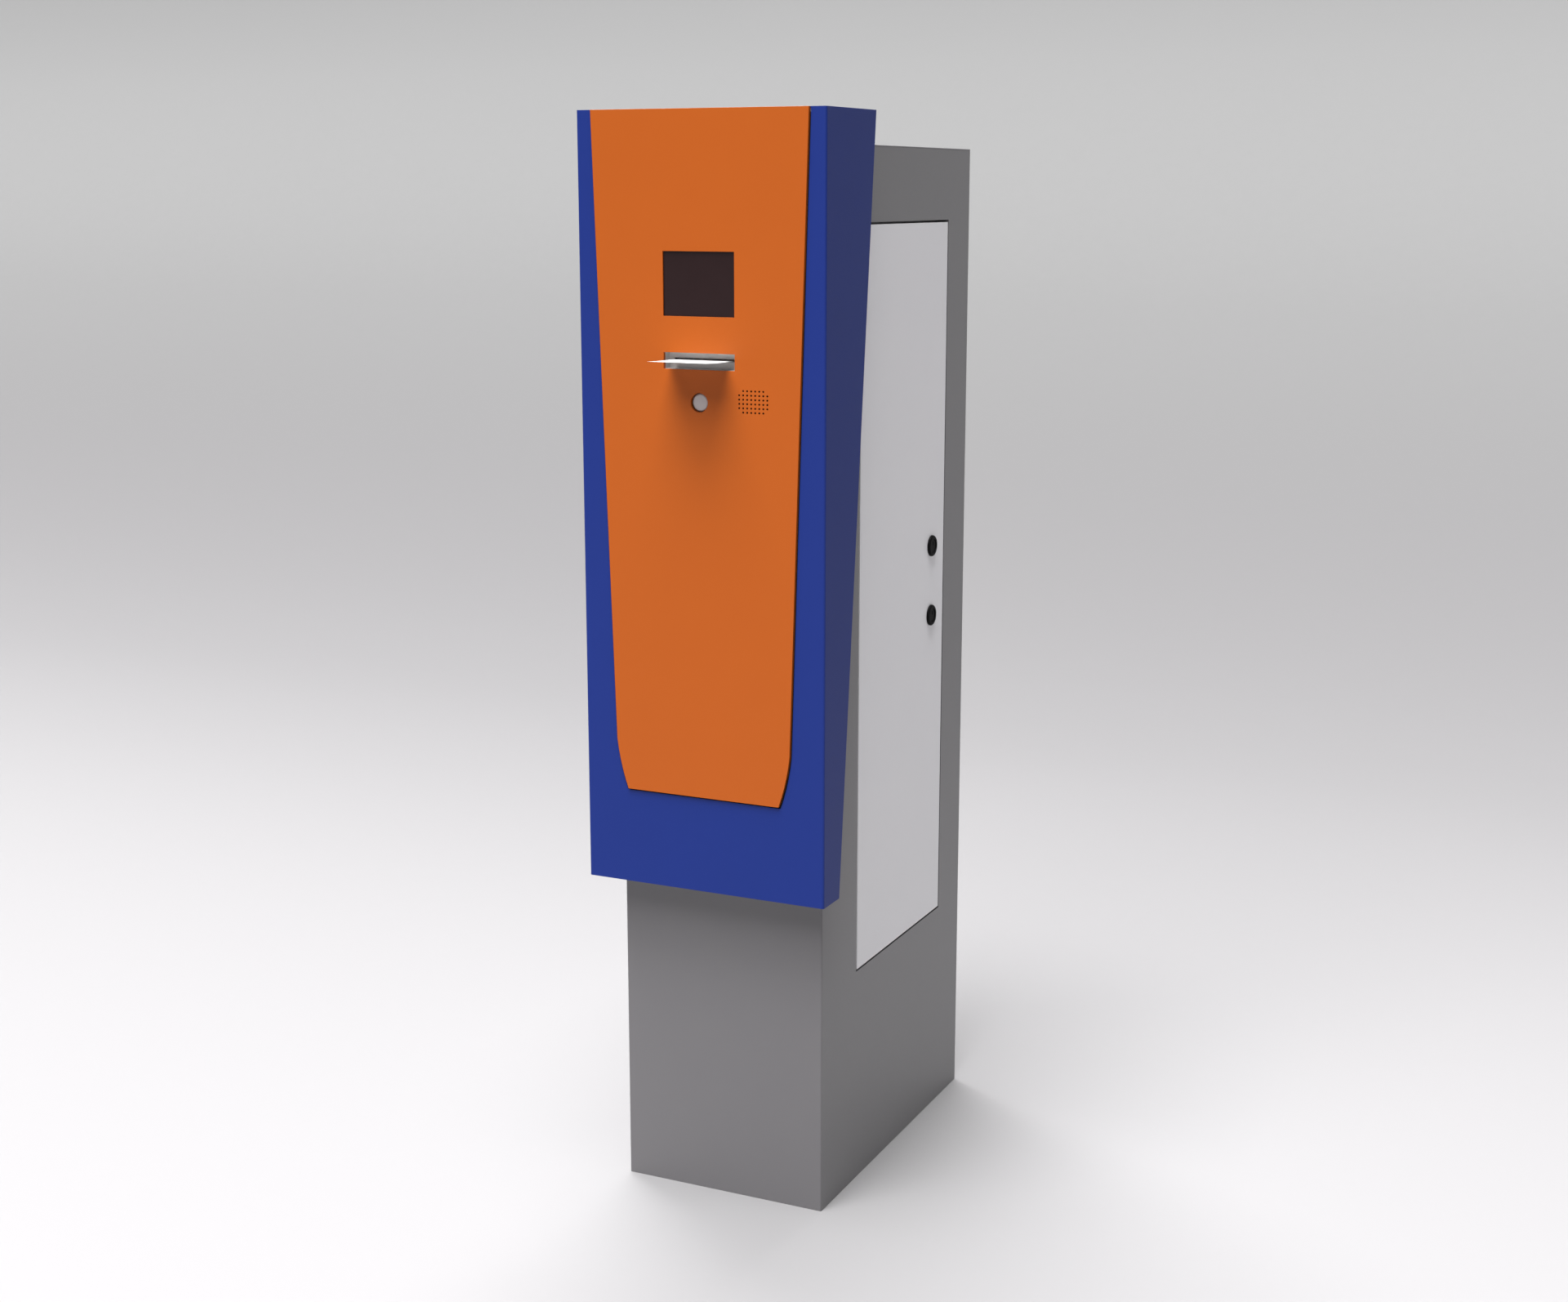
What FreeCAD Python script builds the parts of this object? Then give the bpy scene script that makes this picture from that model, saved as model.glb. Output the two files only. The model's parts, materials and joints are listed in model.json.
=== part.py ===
import FreeCAD, Part
import math
import os
import Sketcher
from FreeCAD import Placement, Rotation, Vector

# Ticket vending machine, millimetres.  The origin is the centre of the cabinet's footprint on the
# ground, +Z is up, the customer stands on the -Y side and the service door is on the +X side.

document = FreeCAD.newDocument("TicketMachine")
sheet = document.addObject("Spreadsheet::Sheet", "d")

DIMENSIONS = [
    ("total_height", 1410),
    ("cabinet_width", 286),
    ("cabinet_depth", 490),
    ("cabinet_height", 1370),
    ("sheet_steel", 2),
    ("fold_radius", 3),
    ("hood_width", 336),
    ("hood_reach", 51),
    ("hood_bottom", 435),
    ("hood_depth_top", 148),
    ("hood_depth_bottom", 48),
    ("hood_return", 22),
    ("fascia_thickness", 5),
    ("fascia_gap", 2),
    ("fascia_half_top", 146.5),
    ("fascia_half_knee", 122),
    ("fascia_knee", 625),
    ("fascia_toe_radius", 293),
    ("fascia_half_foot", 106.8),
    ("fascia_foot", 560),
    ("screen_width", 97),
    ("screen_height", 78),
    ("screen_centre", 1203),
    ("outlet_width", 97.2),
    ("outlet_height", 20.2),
    ("outlet_centre", 1110),
    ("paper_level", 1111),
    ("paper_thickness", 0.2),
    ("ticket_width", 80),
    ("ticket_length", 120),
    ("ticket_tip", 357),
    ("button_radius", 11),
    ("button_height", 1060),
    ("grille_across", 73.6),
    ("grille_height", 1063.5),
    ("grille_pitch", 5.4),
    ("grille_row_pitch", 5.2),
    ("grille_hole_radius", 1.15),
    ("door_front", -131),
    ("door_back", 163.5),
    ("door_bottom", 298),
    ("door_top", 1272),
    ("door_gap", 3),
    ("door_fold", 12),
    ("frame_fold", 16),
    ("pivot_across", 137.5),
    ("pivot_setback", 5.5),
    ("pin_radius", 2),
    ("lock_along", 118),
    ("lock_height", 784.25),
    ("lock_spacing", 97.5),
    ("lock_head_radius", 14.5),
    ("lock_body_radius", 11),
    ("cam_length", 45),
    ("anchor_across", 200),
    ("anchor_along", 380),
    ("anchor_radius", 7),
    ("cable_radius", 25),
    ("roller_radius", 8),
    ("pinch_radius", 6),
    ("nip_gap", 0.3),
    ("feed_roller_along", -225),
    ("platen_along", -175),
    ("shaft_radius", 3),
    ("running_fit", 0.05),
    ("gear_module", 1),
    ("roller_teeth", 20),
    ("idler_teeth", 30),
    ("pinion_teeth", 12),
    ("gear_width", 5),
    ("roll_radius", 50),
    ("roll_along", -55),
    ("spindle_radius", 9),
]
for row, (alias, number_text) in enumerate(DIMENSIONS, 1):
    sheet.set("A%d" % row, alias)
    sheet.set("B%d" % row, str(number_text))
    sheet.setAlias("B%d" % row, alias)
document.recompute()

sub_parts = []


def number(expression):
    """The value of an expression on the sheet's cells."""
    return float(sheet.evalExpression(expression))


def new_body(label):
    """An empty body for one sub-part."""
    body = document.addObject("PartDesign::Body", label)
    body.Label = label
    sub_parts.append(body)
    return body


def new_sketch(body, plane, offset):
    """A sketch on one of the body's origin planes, moved along the plane's normal."""
    origin_plane = [item for item in body.Origin.OriginFeatures if item.Role == plane][0]
    sketch = body.newObject("Sketcher::SketchObject", body.Label + "_sketch")
    sketch.AttachmentSupport = [(origin_plane, "")]
    sketch.MapMode = "FlatFace"
    sketch.setExpression("AttachmentOffset.Base.z", offset)
    return sketch


def drive(sketch, constraint, expression):
    """Add a dimension to a sketch and bind it to the sheet."""
    index = sketch.addConstraint(constraint)
    sketch.setExpression("Constraints[%d]" % index, expression)


def pin_point(sketch, geometry, point, across, up):
    """Dimension a point of the sketch from the sketch's origin."""
    drive(sketch, Sketcher.Constraint("DistanceX", -1, 1, geometry, point, number(across)), across)
    drive(sketch, Sketcher.Constraint("DistanceY", -1, 1, geometry, point, number(up)), up)


def outline(sketch, corners):
    """Draw a closed outline, counter-clockwise.

    Each corner is (across, up), or (across, up, radius) where the edge that starts there is an
    arc: a positive radius bulges outwards and a negative one inwards.
    """
    points = [Vector(number(corner[0]), number(corner[1]), 0) for corner in corners]
    edges = []
    for index, corner in enumerate(corners):
        start = points[index]
        finish = points[(index + 1) % len(points)]
        if len(corner) == 2:
            edges.append((sketch.addGeometry(Part.LineSegment(start, finish), False), 1, 2))
            continue
        radius = number(corner[2])
        chord = finish - start
        rise = math.sqrt(radius ** 2 - chord.Length ** 2 / 4)
        side = Vector(-chord.y, chord.x, 0).normalize() * math.copysign(rise, radius)
        centre = (start + finish) / 2 + side
        first, last, ends = (start, finish, (1, 2)) if radius > 0 else (finish, start, (2, 1))
        first_angle = math.atan2(first.y - centre.y, first.x - centre.x)
        last_angle = math.atan2(last.y - centre.y, last.x - centre.x)
        circle_line = Part.Circle(centre, Vector(0, 0, 1), abs(radius))
        arc = sketch.addGeometry(Part.ArcOfCircle(circle_line, first_angle, last_angle), False)
        edges.append((arc, ends[0], ends[1]))
    for index, corner in enumerate(corners):
        edge, start_point, end_point = edges[index]
        following, following_start, _ = edges[(index + 1) % len(edges)]
        sketch.addConstraint(
            Sketcher.Constraint("Coincident", edge, end_point, following, following_start))
        pin_point(sketch, edge, start_point, corner[0], corner[1])
        if len(corner) == 3:
            radius_text = "abs(%s)" % corner[2]
            drive(sketch, Sketcher.Constraint("Radius", edge, number(radius_text)), radius_text)


def rectangle(sketch, left, right, low, high):
    """Draw a rectangle between four expressions."""
    outline(sketch, [(left, low), (right, low), (right, high), (left, high)])


def circle(sketch, across, up, radius):
    """Draw a circle at a dimensioned centre."""
    centre = Vector(number(across), number(up), 0)
    ring = sketch.addGeometry(Part.Circle(centre, Vector(0, 0, 1), number(radius)), False)
    pin_point(sketch, ring, 3, across, up)
    drive(sketch, Sketcher.Constraint("Radius", ring, number(radius)), radius)


def polygon(sketch, across, up, radius, sides):
    """Draw a regular polygon round a centre."""
    corners = []
    for index in range(sides):
        angle = 2 * math.pi * (index + 0.5) / sides
        corners.append(("%s + %.5f*%s" % (across, math.cos(angle), radius),
                        "%s + %.5f*%s" % (up, math.sin(angle), radius)))
    outline(sketch, corners)


def pad(body, sketch, length):
    """Add material from the sketch, along its normal."""
    feature = body.newObject("PartDesign::Pad", body.Label + "_pad")
    feature.Profile = sketch
    feature.setExpression("Length", length)
    sketch.Visibility = False
    return feature


def pocket(body, sketch, depth, towards_normal=False):
    """Remove material behind the sketch, or in front of it, and check that some was removed."""
    document.recompute()
    before = body.Shape.Volume
    feature = body.newObject("PartDesign::Pocket", body.Label + "_pocket")
    feature.Profile = sketch
    feature.setExpression("Length", depth)
    feature.Reversed = towards_normal
    document.recompute()
    if body.Shape.Volume > before - 0.01:
        raise RuntimeError("a pocket of %s removed nothing" % body.Label)
    return feature


def extruded(label, plane, start, length, corners, windows=(), holes=()):
    """A body of one outline, with rectangular windows and round holes, extruded from a plane."""
    body = new_body(label)
    sketch = new_sketch(body, plane, start)
    outline(sketch, corners)
    for window in windows:
        rectangle(sketch, *window)
    for hole in holes:
        circle(sketch, *hole)
    pad(body, sketch, length)
    return body


def slab(label, plane, start, length, left, right, low, high, windows=(), holes=()):
    """A rectangular plate with windows and holes."""
    corners = [(left, low), (right, low), (right, high), (left, high)]
    return extruded(label, plane, start, length, corners, windows, holes)


def turned(label, plane, axis, profile, x="0", y="0", z="0"):
    """A body turned about an axis of the sketch plane from its half profile."""
    body = new_body(label)
    sketch = new_sketch(body, plane, "0")
    outline(sketch, profile)
    feature = body.newObject("PartDesign::Revolution", label + "_turning")
    feature.Profile = sketch
    feature.ReferenceAxis = (sketch, [axis])
    feature.Angle = 360
    put(body, x, y, z)
    return body


def put(item, x, y, z):
    """Place an object from expressions."""
    for axis, expression in (("x", x), ("y", y), ("z", z)):
        item.setExpression("Placement.Base." + axis, expression)


def block(name, x, y, z, length, width, height):
    """A Part box whose corner and sizes are expressions."""
    item = document.addObject("Part::Box", name)
    item.setExpression("Length", length)
    item.setExpression("Width", width)
    item.setExpression("Height", height)
    put(item, x, y, z)
    return item


def rod(name, direction, x, y, z, radius, length):
    """A Part cylinder that starts at a point and runs along a direction."""
    item = document.addObject("Part::Cylinder", name)
    item.setExpression("Radius", radius)
    item.setExpression("Height", length)
    item.Placement = Placement(Vector(), Rotation(Vector(0, 0, 1), direction))
    put(item, x, y, z)
    return item


def hexagon(name, direction, x, y, z, radius, length):
    """A six-sided Part prism, for nuts and bolt heads."""
    item = document.addObject("Part::Prism", name)
    item.Polygon = 6
    item.setExpression("Circumradius", radius)
    item.setExpression("Height", length)
    item.Placement = Placement(Vector(), Rotation(ALONG_Z, direction))
    put(item, x, y, z)
    return item


def cut(name, base, tool):
    """One Part object with another cut out of it."""
    item = document.addObject("Part::Cut", name)
    item.Base = base
    item.Tool = tool
    return item


def joined(name, items):
    """Part objects joined into one."""
    item = document.addObject("Part::MultiFuse", name)
    item.Shapes = items
    item.Refine = True
    return item


def keep(item, label):
    """Make a Part object a sub-part with its own label."""
    item.Label = label
    sub_parts.append(item)
    return item


def group(label, items):
    """Like pieces kept together as one sub-part of separate solids."""
    compound = document.addObject("Part::Compound", label)
    compound.Links = items
    for item in items:
        if item in sub_parts:
            sub_parts.remove(item)
    return keep(compound, label)


ALONG_X = Vector(1, 0, 0)
ALONG_Y = Vector(0, 1, 0)
ALONG_Z = Vector(0, 0, 1)
HALF_WIDTH = "d.cabinet_width/2"
HALF_DEPTH = "d.cabinet_depth/2"
HOOD_FACE = "(d.cabinet_depth/2 + d.hood_reach)"
FASCIA_BACK = "(d.cabinet_depth/2 + d.hood_reach - d.sheet_steel)"
INNER_HALF_WIDTH = "(d.cabinet_width/2 - d.sheet_steel)"
SHELF_TOP = "(d.paper_level - 45)"
ROLL_HEIGHT = "(d.paper_level + d.nip_gap + 0.1 + d.roll_radius)"
ELECTRICS_WEB = "-(d.cabinet_width/2 - d.sheet_steel) + 15"
TOGGLE_LEAN = -35
ROLLER_HEIGHT = "(d.paper_level - d.nip_gap - 0.1 - d.roller_radius)"
PINCH_HEIGHT = "(d.paper_level + d.nip_gap + 0.1 + d.pinch_radius)"
HOOD_BOLT_LEVELS = ("700", "1000", "1300")
HOOD_BOLT_ACROSS = 119


# ---------------------------------------------------------------- cabinet

def cabinet_shell():
    """Front and side walls folded from one sheet, with back returns, door and front openings."""
    left, right = "-" + HALF_WIDTH, HALF_WIDTH
    inner_left, inner_right = "-" + INNER_HALF_WIDTH, INNER_HALF_WIDTH
    front = "-" + HALF_DEPTH
    inner_front = "-(d.cabinet_depth/2 - d.sheet_steel)"
    back = "d.cabinet_depth/2 - d.sheet_steel"
    inner_back = "d.cabinet_depth/2 - 2*d.sheet_steel"
    return_left, return_right = "-(d.cabinet_width/2 - 20)", "d.cabinet_width/2 - 20"
    shell = extruded("cabinet_shell", "XY_Plane", "0", "d.cabinet_height - d.sheet_steel", [
        (return_left, back), (left, back), (left, front + " + d.sheet_steel", "d.sheet_steel"),
        (left + " + d.sheet_steel", front),
        (right + " - d.sheet_steel", front, "d.sheet_steel"),
        (right, front + " + d.sheet_steel"), (right, back), (return_right, back),
        (return_right, inner_back), (inner_right, inner_back), (inner_right, inner_front),
        (inner_left, inner_front), (inner_left, inner_back), (return_left, inner_back)])
    doorway = new_sketch(shell, "YZ_Plane", HALF_WIDTH + " + 5")
    rectangle(doorway, "d.door_front - d.door_gap", "d.door_back + d.door_gap",
              "d.door_bottom - d.door_gap", "d.door_top + d.door_gap")
    pocket(shell, doorway, "12")
    front_opening = new_sketch(shell, "XZ_Plane", HALF_DEPTH + " + 5")
    rectangle(front_opening, "-85", "85", "d.outlet_centre - 82", "d.screen_centre + 57")
    for side in (-HOOD_BOLT_ACROSS, HOOD_BOLT_ACROSS):
        for level in HOOD_BOLT_LEVELS:
            circle(front_opening, "%d" % side, level, "3")
    pocket(shell, front_opening, "12")
    return shell


def back_panel():
    """The rear cover, with a low intake bank and a high exhaust bank of pressed louvres."""
    panel = slab("back_panel", "XZ_Plane", "-d.cabinet_depth/2", "d.sheet_steel",
                 "-" + HALF_WIDTH, HALF_WIDTH, "0",
                 "d.cabinet_height - d.sheet_steel")
    for bank_base in ("160", "1120"):
        slot = new_sketch(panel, "XZ_Plane", "-d.cabinet_depth/2")
        rectangle(slot, "-60", "60", bank_base, bank_base + " + 7")
        opening = pocket(panel, slot, "d.sheet_steel", towards_normal=True)
        hood = new_sketch(panel, "YZ_Plane", "-62")
        outline(hood, [
            (HALF_DEPTH, bank_base + " + 12"), (HALF_DEPTH, bank_base + " + 10"),
            (HALF_DEPTH + " + 4.5", bank_base), (HALF_DEPTH + " + 6", bank_base),
            (HALF_DEPTH + " + 6", bank_base + " + 2")])
        lip = pad(panel, hood, "124")
        rows = panel.newObject("PartDesign::LinearPattern", "back_panel_bank")
        rows.Originals = [opening, lip]
        rows.Direction = (slot, ["V_Axis"])
        rows.Length = 90
        rows.Occurrences = 6
        panel.Tip = rows
        document.recompute()
    return panel


def top_cover():
    """The lid: a shallow folded pan whose rim fits inside the walls."""
    cover = slab("top_cover", "XY_Plane", "d.cabinet_height - d.sheet_steel", "d.sheet_steel",
                 "-" + HALF_WIDTH, HALF_WIDTH, "-" + HALF_DEPTH, HALF_DEPTH)
    rim = new_sketch(cover, "XY_Plane", "d.cabinet_height - 20")
    rectangle(rim, "-" + INNER_HALF_WIDTH, INNER_HALF_WIDTH,
              "-(d.cabinet_depth/2 - d.sheet_steel)", "d.cabinet_depth/2 - 2*d.sheet_steel")
    rectangle(rim, "-(d.cabinet_width/2 - 2*d.sheet_steel)", "d.cabinet_width/2 - 2*d.sheet_steel",
              "-(d.cabinet_depth/2 - 2*d.sheet_steel)", "d.cabinet_depth/2 - 3*d.sheet_steel")
    pad(cover, rim, "20 - d.sheet_steel")
    return cover


def base_tray():
    """The welded foot: a folded tray with four anchor holes and the cable opening."""
    side = "(d.cabinet_width/2 - d.sheet_steel)"
    front = "(d.cabinet_depth/2 - d.sheet_steel)"
    back = "(d.cabinet_depth/2 - 2*d.sheet_steel)"
    tray = slab("base_tray", "XY_Plane", "0", "45", "-" + side, side, "-" + front, back)
    well = new_sketch(tray, "XY_Plane", "45")
    rectangle(well, "-" + side + " + 3", side + " - 3", "-" + front + " + 3", back + " - 3")
    pocket(tray, well, "41")
    holes = new_sketch(tray, "XY_Plane", "10")
    for across in ("-d.anchor_across/2", "d.anchor_across/2"):
        for along in ("-d.anchor_along/2", "d.anchor_along/2"):
            circle(holes, across, along, "d.anchor_radius")
    cable_side = "(d.cable_radius + 17)"
    rectangle(holes, "-" + cable_side, cable_side, "-" + cable_side, cable_side)
    pocket(tray, holes, "20")
    return tray


def gland_plate():
    """The cable entry plate over the tray's square opening, with one gland hole."""
    side = "(d.cable_radius + 25)"
    return slab("gland_plate", "XY_Plane", "4", "3", "-" + side, side, "-" + side, side,
                holes=[("0", "0", "d.cable_radius")])


def door_frame():
    """The welded rebate behind the doorway: a Z section with a stop for the door's seal."""
    opening = ("d.door_front - d.door_gap", "d.door_back + d.door_gap",
               "d.door_bottom - d.door_gap", "d.door_top + d.door_gap")

    def grown(amount):
        return (opening[0] + " - %g" % amount, opening[1] + " + %g" % amount,
                opening[2] + " - %g" % amount, opening[3] + " + %g" % amount)

    frame = new_body("door_frame")
    wall = new_sketch(frame, "YZ_Plane", INNER_HALF_WIDTH + " - d.frame_fold")
    rectangle(wall, *grown(2))
    rectangle(wall, *opening)
    pad(frame, wall, "d.frame_fold")
    flange = new_sketch(frame, "YZ_Plane", INNER_HALF_WIDTH + " - d.sheet_steel")
    rectangle(flange, *grown(12))
    rectangle(flange, *grown(1))
    pad(frame, flange, "d.sheet_steel")
    stop = new_sketch(frame, "YZ_Plane", INNER_HALF_WIDTH + " - d.frame_fold")
    rectangle(stop, *grown(1))
    rectangle(stop, *grown(-14))
    pad(frame, stop, "d.sheet_steel")
    pivots = new_sketch(frame, "XY_Plane", "d.door_top + d.door_gap + 20")
    circle(pivots, "d.pivot_across", "d.door_front + d.pivot_setback", "d.pin_radius")
    pocket(frame, pivots, "d.door_top - d.door_bottom + 50")
    return frame


def door_seal():
    """The foam strip on the frame's stop, drawn at its closed thickness."""
    seal = new_body("door_seal")
    strip = new_sketch(seal, "YZ_Plane", INNER_HALF_WIDTH + " - d.frame_fold + d.sheet_steel")
    inset = " + %g"
    rectangle(strip, "d.door_front" + inset % 1, "d.door_back - 1",
              "d.door_bottom" + inset % 1, "d.door_top - 1")
    rectangle(strip, "d.door_front" + inset % 8, "d.door_back - 8",
              "d.door_bottom" + inset % 8, "d.door_top - 8")
    pad(seal, strip, "1.4")
    return seal


# ---------------------------------------------------------------- service door

def side_door():
    """The door: a folded pan with holes for the two locks and the hinge bushes."""
    skin = INNER_HALF_WIDTH + " + d.sheet_steel"
    door = slab("side_door", "YZ_Plane", skin + " - d.door_fold", "d.door_fold",
                "d.door_front", "d.door_back", "d.door_bottom", "d.door_top")
    hollow = new_sketch(door, "YZ_Plane", skin + " - d.door_fold")
    rectangle(hollow, "d.door_front + d.sheet_steel", "d.door_back - d.sheet_steel",
              "d.door_bottom + d.sheet_steel", "d.door_top - d.sheet_steel")
    pocket(door, hollow, "d.door_fold - d.sheet_steel", towards_normal=True)
    locks = new_sketch(door, "YZ_Plane", skin + " + 5")
    for side in ("-", "+"):
        circle(locks, "d.lock_along", "d.lock_height %s d.lock_spacing/2" % side,
               "d.lock_body_radius")
    pocket(door, locks, "10")
    bushes = new_sketch(door, "XY_Plane", "d.door_top + 5")
    circle(bushes, "d.pivot_across", "d.door_front + d.pivot_setback", "d.pin_radius + 1")
    pocket(door, bushes, "d.door_top - d.door_bottom + 10")
    return door


def door_stiffener():
    """A hat-section rib welded inside the door skin."""
    skin = INNER_HALF_WIDTH
    return extruded("door_stiffener", "XY_Plane", "d.door_bottom + 32", "910", [
        (skin, "-5"), (skin, "10"), (skin + " - 8.5", "10"), (skin + " - 8.5", "30"),
        (skin, "30"), (skin, "45"), (skin + " - 1.5", "45"), (skin + " - 1.5", "31.5"),
        (skin + " - 10", "31.5"), (skin + " - 10", "8.5"), (skin + " - 1.5", "8.5"),
        (skin + " - 1.5", "-5")])


def hinges():
    """Pivot pins fixed in the frame, turning in bushes in the door's folded top and bottom."""
    pin_x, pin_y = "d.pivot_across", "d.door_front + d.pivot_setback"
    pins, bushes = [], []
    for level, pin_foot, bush_foot in (
            ("upper", "d.door_top - 10", "d.door_top - 6"),
            ("lower", "d.door_bottom - d.door_gap - 4", "d.door_bottom")):
        pins.append(rod("hinge_pin_" + level, ALONG_Z, pin_x, pin_y, pin_foot,
                        "d.pin_radius", "17"))
        outside = rod("bush_wall_" + level, ALONG_Z, pin_x, pin_y, bush_foot,
                      "d.pin_radius + 1", "6")
        inside = rod("bush_bore_" + level, ALONG_Z, pin_x, pin_y, bush_foot + " - 1",
                     "d.pin_radius + d.running_fit", "8")
        bushes.append(cut("hinge_bush_" + level, outside, inside))
    group("hinge_pins", pins)
    group("hinge_bushes", bushes)


def quarter_turn_lock(level, side):
    """A round quarter-turn lock about X: housing, key barrel and cam.  Returns its nut."""
    face = INNER_HALF_WIDTH + " + d.sheet_steel"
    height = "d.lock_height %s d.lock_spacing/2" % side
    turned("lock_housing_" + level, "XY_Plane", "H_Axis", [
        ("-20", "7.05"), ("1", "7.05"), ("1", "9.55"), ("4", "9.55"), ("4", "13"),
        ("2.5", "d.lock_head_radius"), ("0", "d.lock_head_radius"), ("0", "d.lock_body_radius"),
        ("-20", "d.lock_body_radius")][::-1], face, "d.lock_along", height)
    barrel = turned("lock_barrel_" + level, "XY_Plane", "H_Axis", [
        ("-24", "0"), ("3", "0"), ("3", "8.6"), ("2.4", "9.5"), ("1", "9.5"), ("1", "7"),
        ("-20.5", "7"), ("-20.5", "5"), ("-24", "5")], face, "d.lock_along", height)
    key_slot = new_sketch(barrel, "YZ_Plane", "3")
    rectangle(key_slot, "-1", "1", "0.5", "6")
    pocket(barrel, key_slot, "2")
    cam = extruded("lock_cam_" + level, "YZ_Plane", "-24", "3", [
        ("-8", "6"), ("-8", "-12"), ("-5", "-d.cam_length"), ("5", "-d.cam_length"), ("8", "-12"),
        ("8", "6")], holes=[("0", "0", "5")])
    put(cam, face, "d.lock_along", height)
    nut = hexagon("nut_blank_" + level, ALONG_X, INNER_HALF_WIDTH + " - 4", "d.lock_along", height,
                  "15", "4")
    thread = rod("nut_bore_" + level, ALONG_X, INNER_HALF_WIDTH + " - 5", "d.lock_along", height,
                 "d.lock_body_radius", "6")
    return cut("lock_nut_" + level, nut, thread)


# ---------------------------------------------------------------- hood and fascia

def fascia_corners(grow, top, foot_grow=None):
    """The fascia's outline grown by a margin: straight tapering sides above a rounded toe."""
    foot_grow = grow if foot_grow is None else foot_grow
    top_half = "(d.fascia_half_top + %s)" % grow
    knee_half = "(d.fascia_half_knee + %s)" % grow
    foot_half = "(d.fascia_half_foot + %s)" % grow
    foot = "d.fascia_foot - %s" % foot_grow
    return [("-" + top_half, top), ("-" + knee_half, "d.fascia_knee", "d.fascia_toe_radius"),
            ("-" + foot_half, foot), (foot_half, foot, "d.fascia_toe_radius"),
            (knee_half, "d.fascia_knee"), (top_half, top)]


def hood_shell():
    """The weather hood: folded front and tapering side flanges, a lid and a bottom return."""
    side, face = "d.hood_width/2", "-" + HOOD_FACE
    inner = "(d.hood_width/2 - d.sheet_steel)"
    back = "-" + HOOD_FACE + " + d.hood_depth_top"
    inner_radius = "-(d.fold_radius - d.sheet_steel)"
    hood = extruded("hood_shell", "XY_Plane", "d.hood_bottom", "d.total_height - d.hood_bottom", [
        ("-" + side, back), ("-" + side, face + " + d.fold_radius", "d.fold_radius"),
        ("-" + side + " + d.fold_radius", face),
        (side + " - d.fold_radius", face, "d.fold_radius"),
        (side, face + " + d.fold_radius"), (side, back), (inner, back),
        (inner, face + " + d.fold_radius", inner_radius),
        (side + " - d.fold_radius", face + " + d.sheet_steel"),
        ("-" + side + " + d.fold_radius", face + " + d.sheet_steel", inner_radius),
        ("-" + inner, face + " + d.fold_radius"), ("-" + inner, back)])
    taper = new_sketch(hood, "YZ_Plane", side + " + 5")
    low_back = face + " + d.hood_depth_bottom"
    outline(taper, [(low_back, "d.hood_bottom"), (back + " + 5", "d.hood_bottom"),
                    (back + " + 5", "d.total_height"), (back, "d.total_height")])
    pocket(hood, taper, "d.hood_width + 10")
    lid = new_sketch(hood, "XY_Plane", "d.total_height - d.sheet_steel")
    rectangle(lid, "-" + side + " + 1", side + " - 1", face + " + 1", back)
    pad(hood, lid, "d.sheet_steel")
    toe = new_sketch(hood, "XY_Plane", "d.hood_bottom")
    rectangle(toe, "-" + side + " + 1", side + " - 1", face + " + 1", face + " + d.hood_return")
    pad(hood, toe, "d.sheet_steel")
    window = new_sketch(hood, "XZ_Plane", FASCIA_BACK)
    outline(window, fascia_corners("d.fascia_gap", "d.total_height + 5"))
    pocket(hood, window, "10", towards_normal=True)
    return hood


def fascia_panel():
    """The customer panel: screen window, ticket outlet, button hole and speaker grille."""
    panel = extruded(
        "fascia_panel", "XZ_Plane", FASCIA_BACK, "d.fascia_thickness",
        fascia_corners("0", "d.total_height"),
        windows=[("-d.screen_width/2", "d.screen_width/2", "d.screen_centre - d.screen_height/2",
                  "d.screen_centre + d.screen_height/2"),
                 ("-d.outlet_width/2", "d.outlet_width/2",
                  "d.outlet_centre - d.outlet_height/2", "d.outlet_centre + d.outlet_height/2")],
        holes=[("0", "d.button_height", "d.button_radius + 0.8")])
    rebate = new_sketch(panel, "XZ_Plane", FASCIA_BACK)
    rectangle(rebate, "-d.screen_width/2 - 5", "d.screen_width/2 + 5",
              "d.screen_centre - d.screen_height/2 - 5", "d.screen_centre + d.screen_height/2 + 5")
    pocket(panel, rebate, "d.fascia_thickness - 2", towards_normal=True)
    for rows, columns in (((-2.5, 2.5), 6), ((-1.5, -0.5, 0.5, 1.5), 8)):
        first_column = new_sketch(panel, "XZ_Plane", FASCIA_BACK)
        for row in rows:
            polygon(first_column, "d.grille_across - %g*d.grille_pitch" % ((columns - 1) / 2),
                    "d.grille_height + %g*d.grille_row_pitch" % row, "d.grille_hole_radius", 8)
        holes = pocket(panel, first_column, "d.fascia_thickness", towards_normal=True)
        grille = panel.newObject("PartDesign::LinearPattern", "speaker_grille")
        grille.Originals = [holes]
        grille.Direction = (first_column, ["H_Axis"])
        grille.setExpression("Length", "%d*d.grille_pitch" % (columns - 1))
        grille.Occurrences = columns
        panel.Tip = grille
        document.recompute()
    return panel


def fascia_ring(label, offset, thickness, margin, inset):
    """A flat ring that follows the fascia's edge behind the hood's cut-out."""
    ring = new_body(label)
    sketch = new_sketch(ring, "XZ_Plane", offset)
    outline(sketch, fascia_corners(margin, "d.total_height - 6"))
    outline(sketch, fascia_corners("-%s" % inset, "d.total_height - 6 - %s" % inset))
    pad(ring, sketch, thickness)
    return ring


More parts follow.
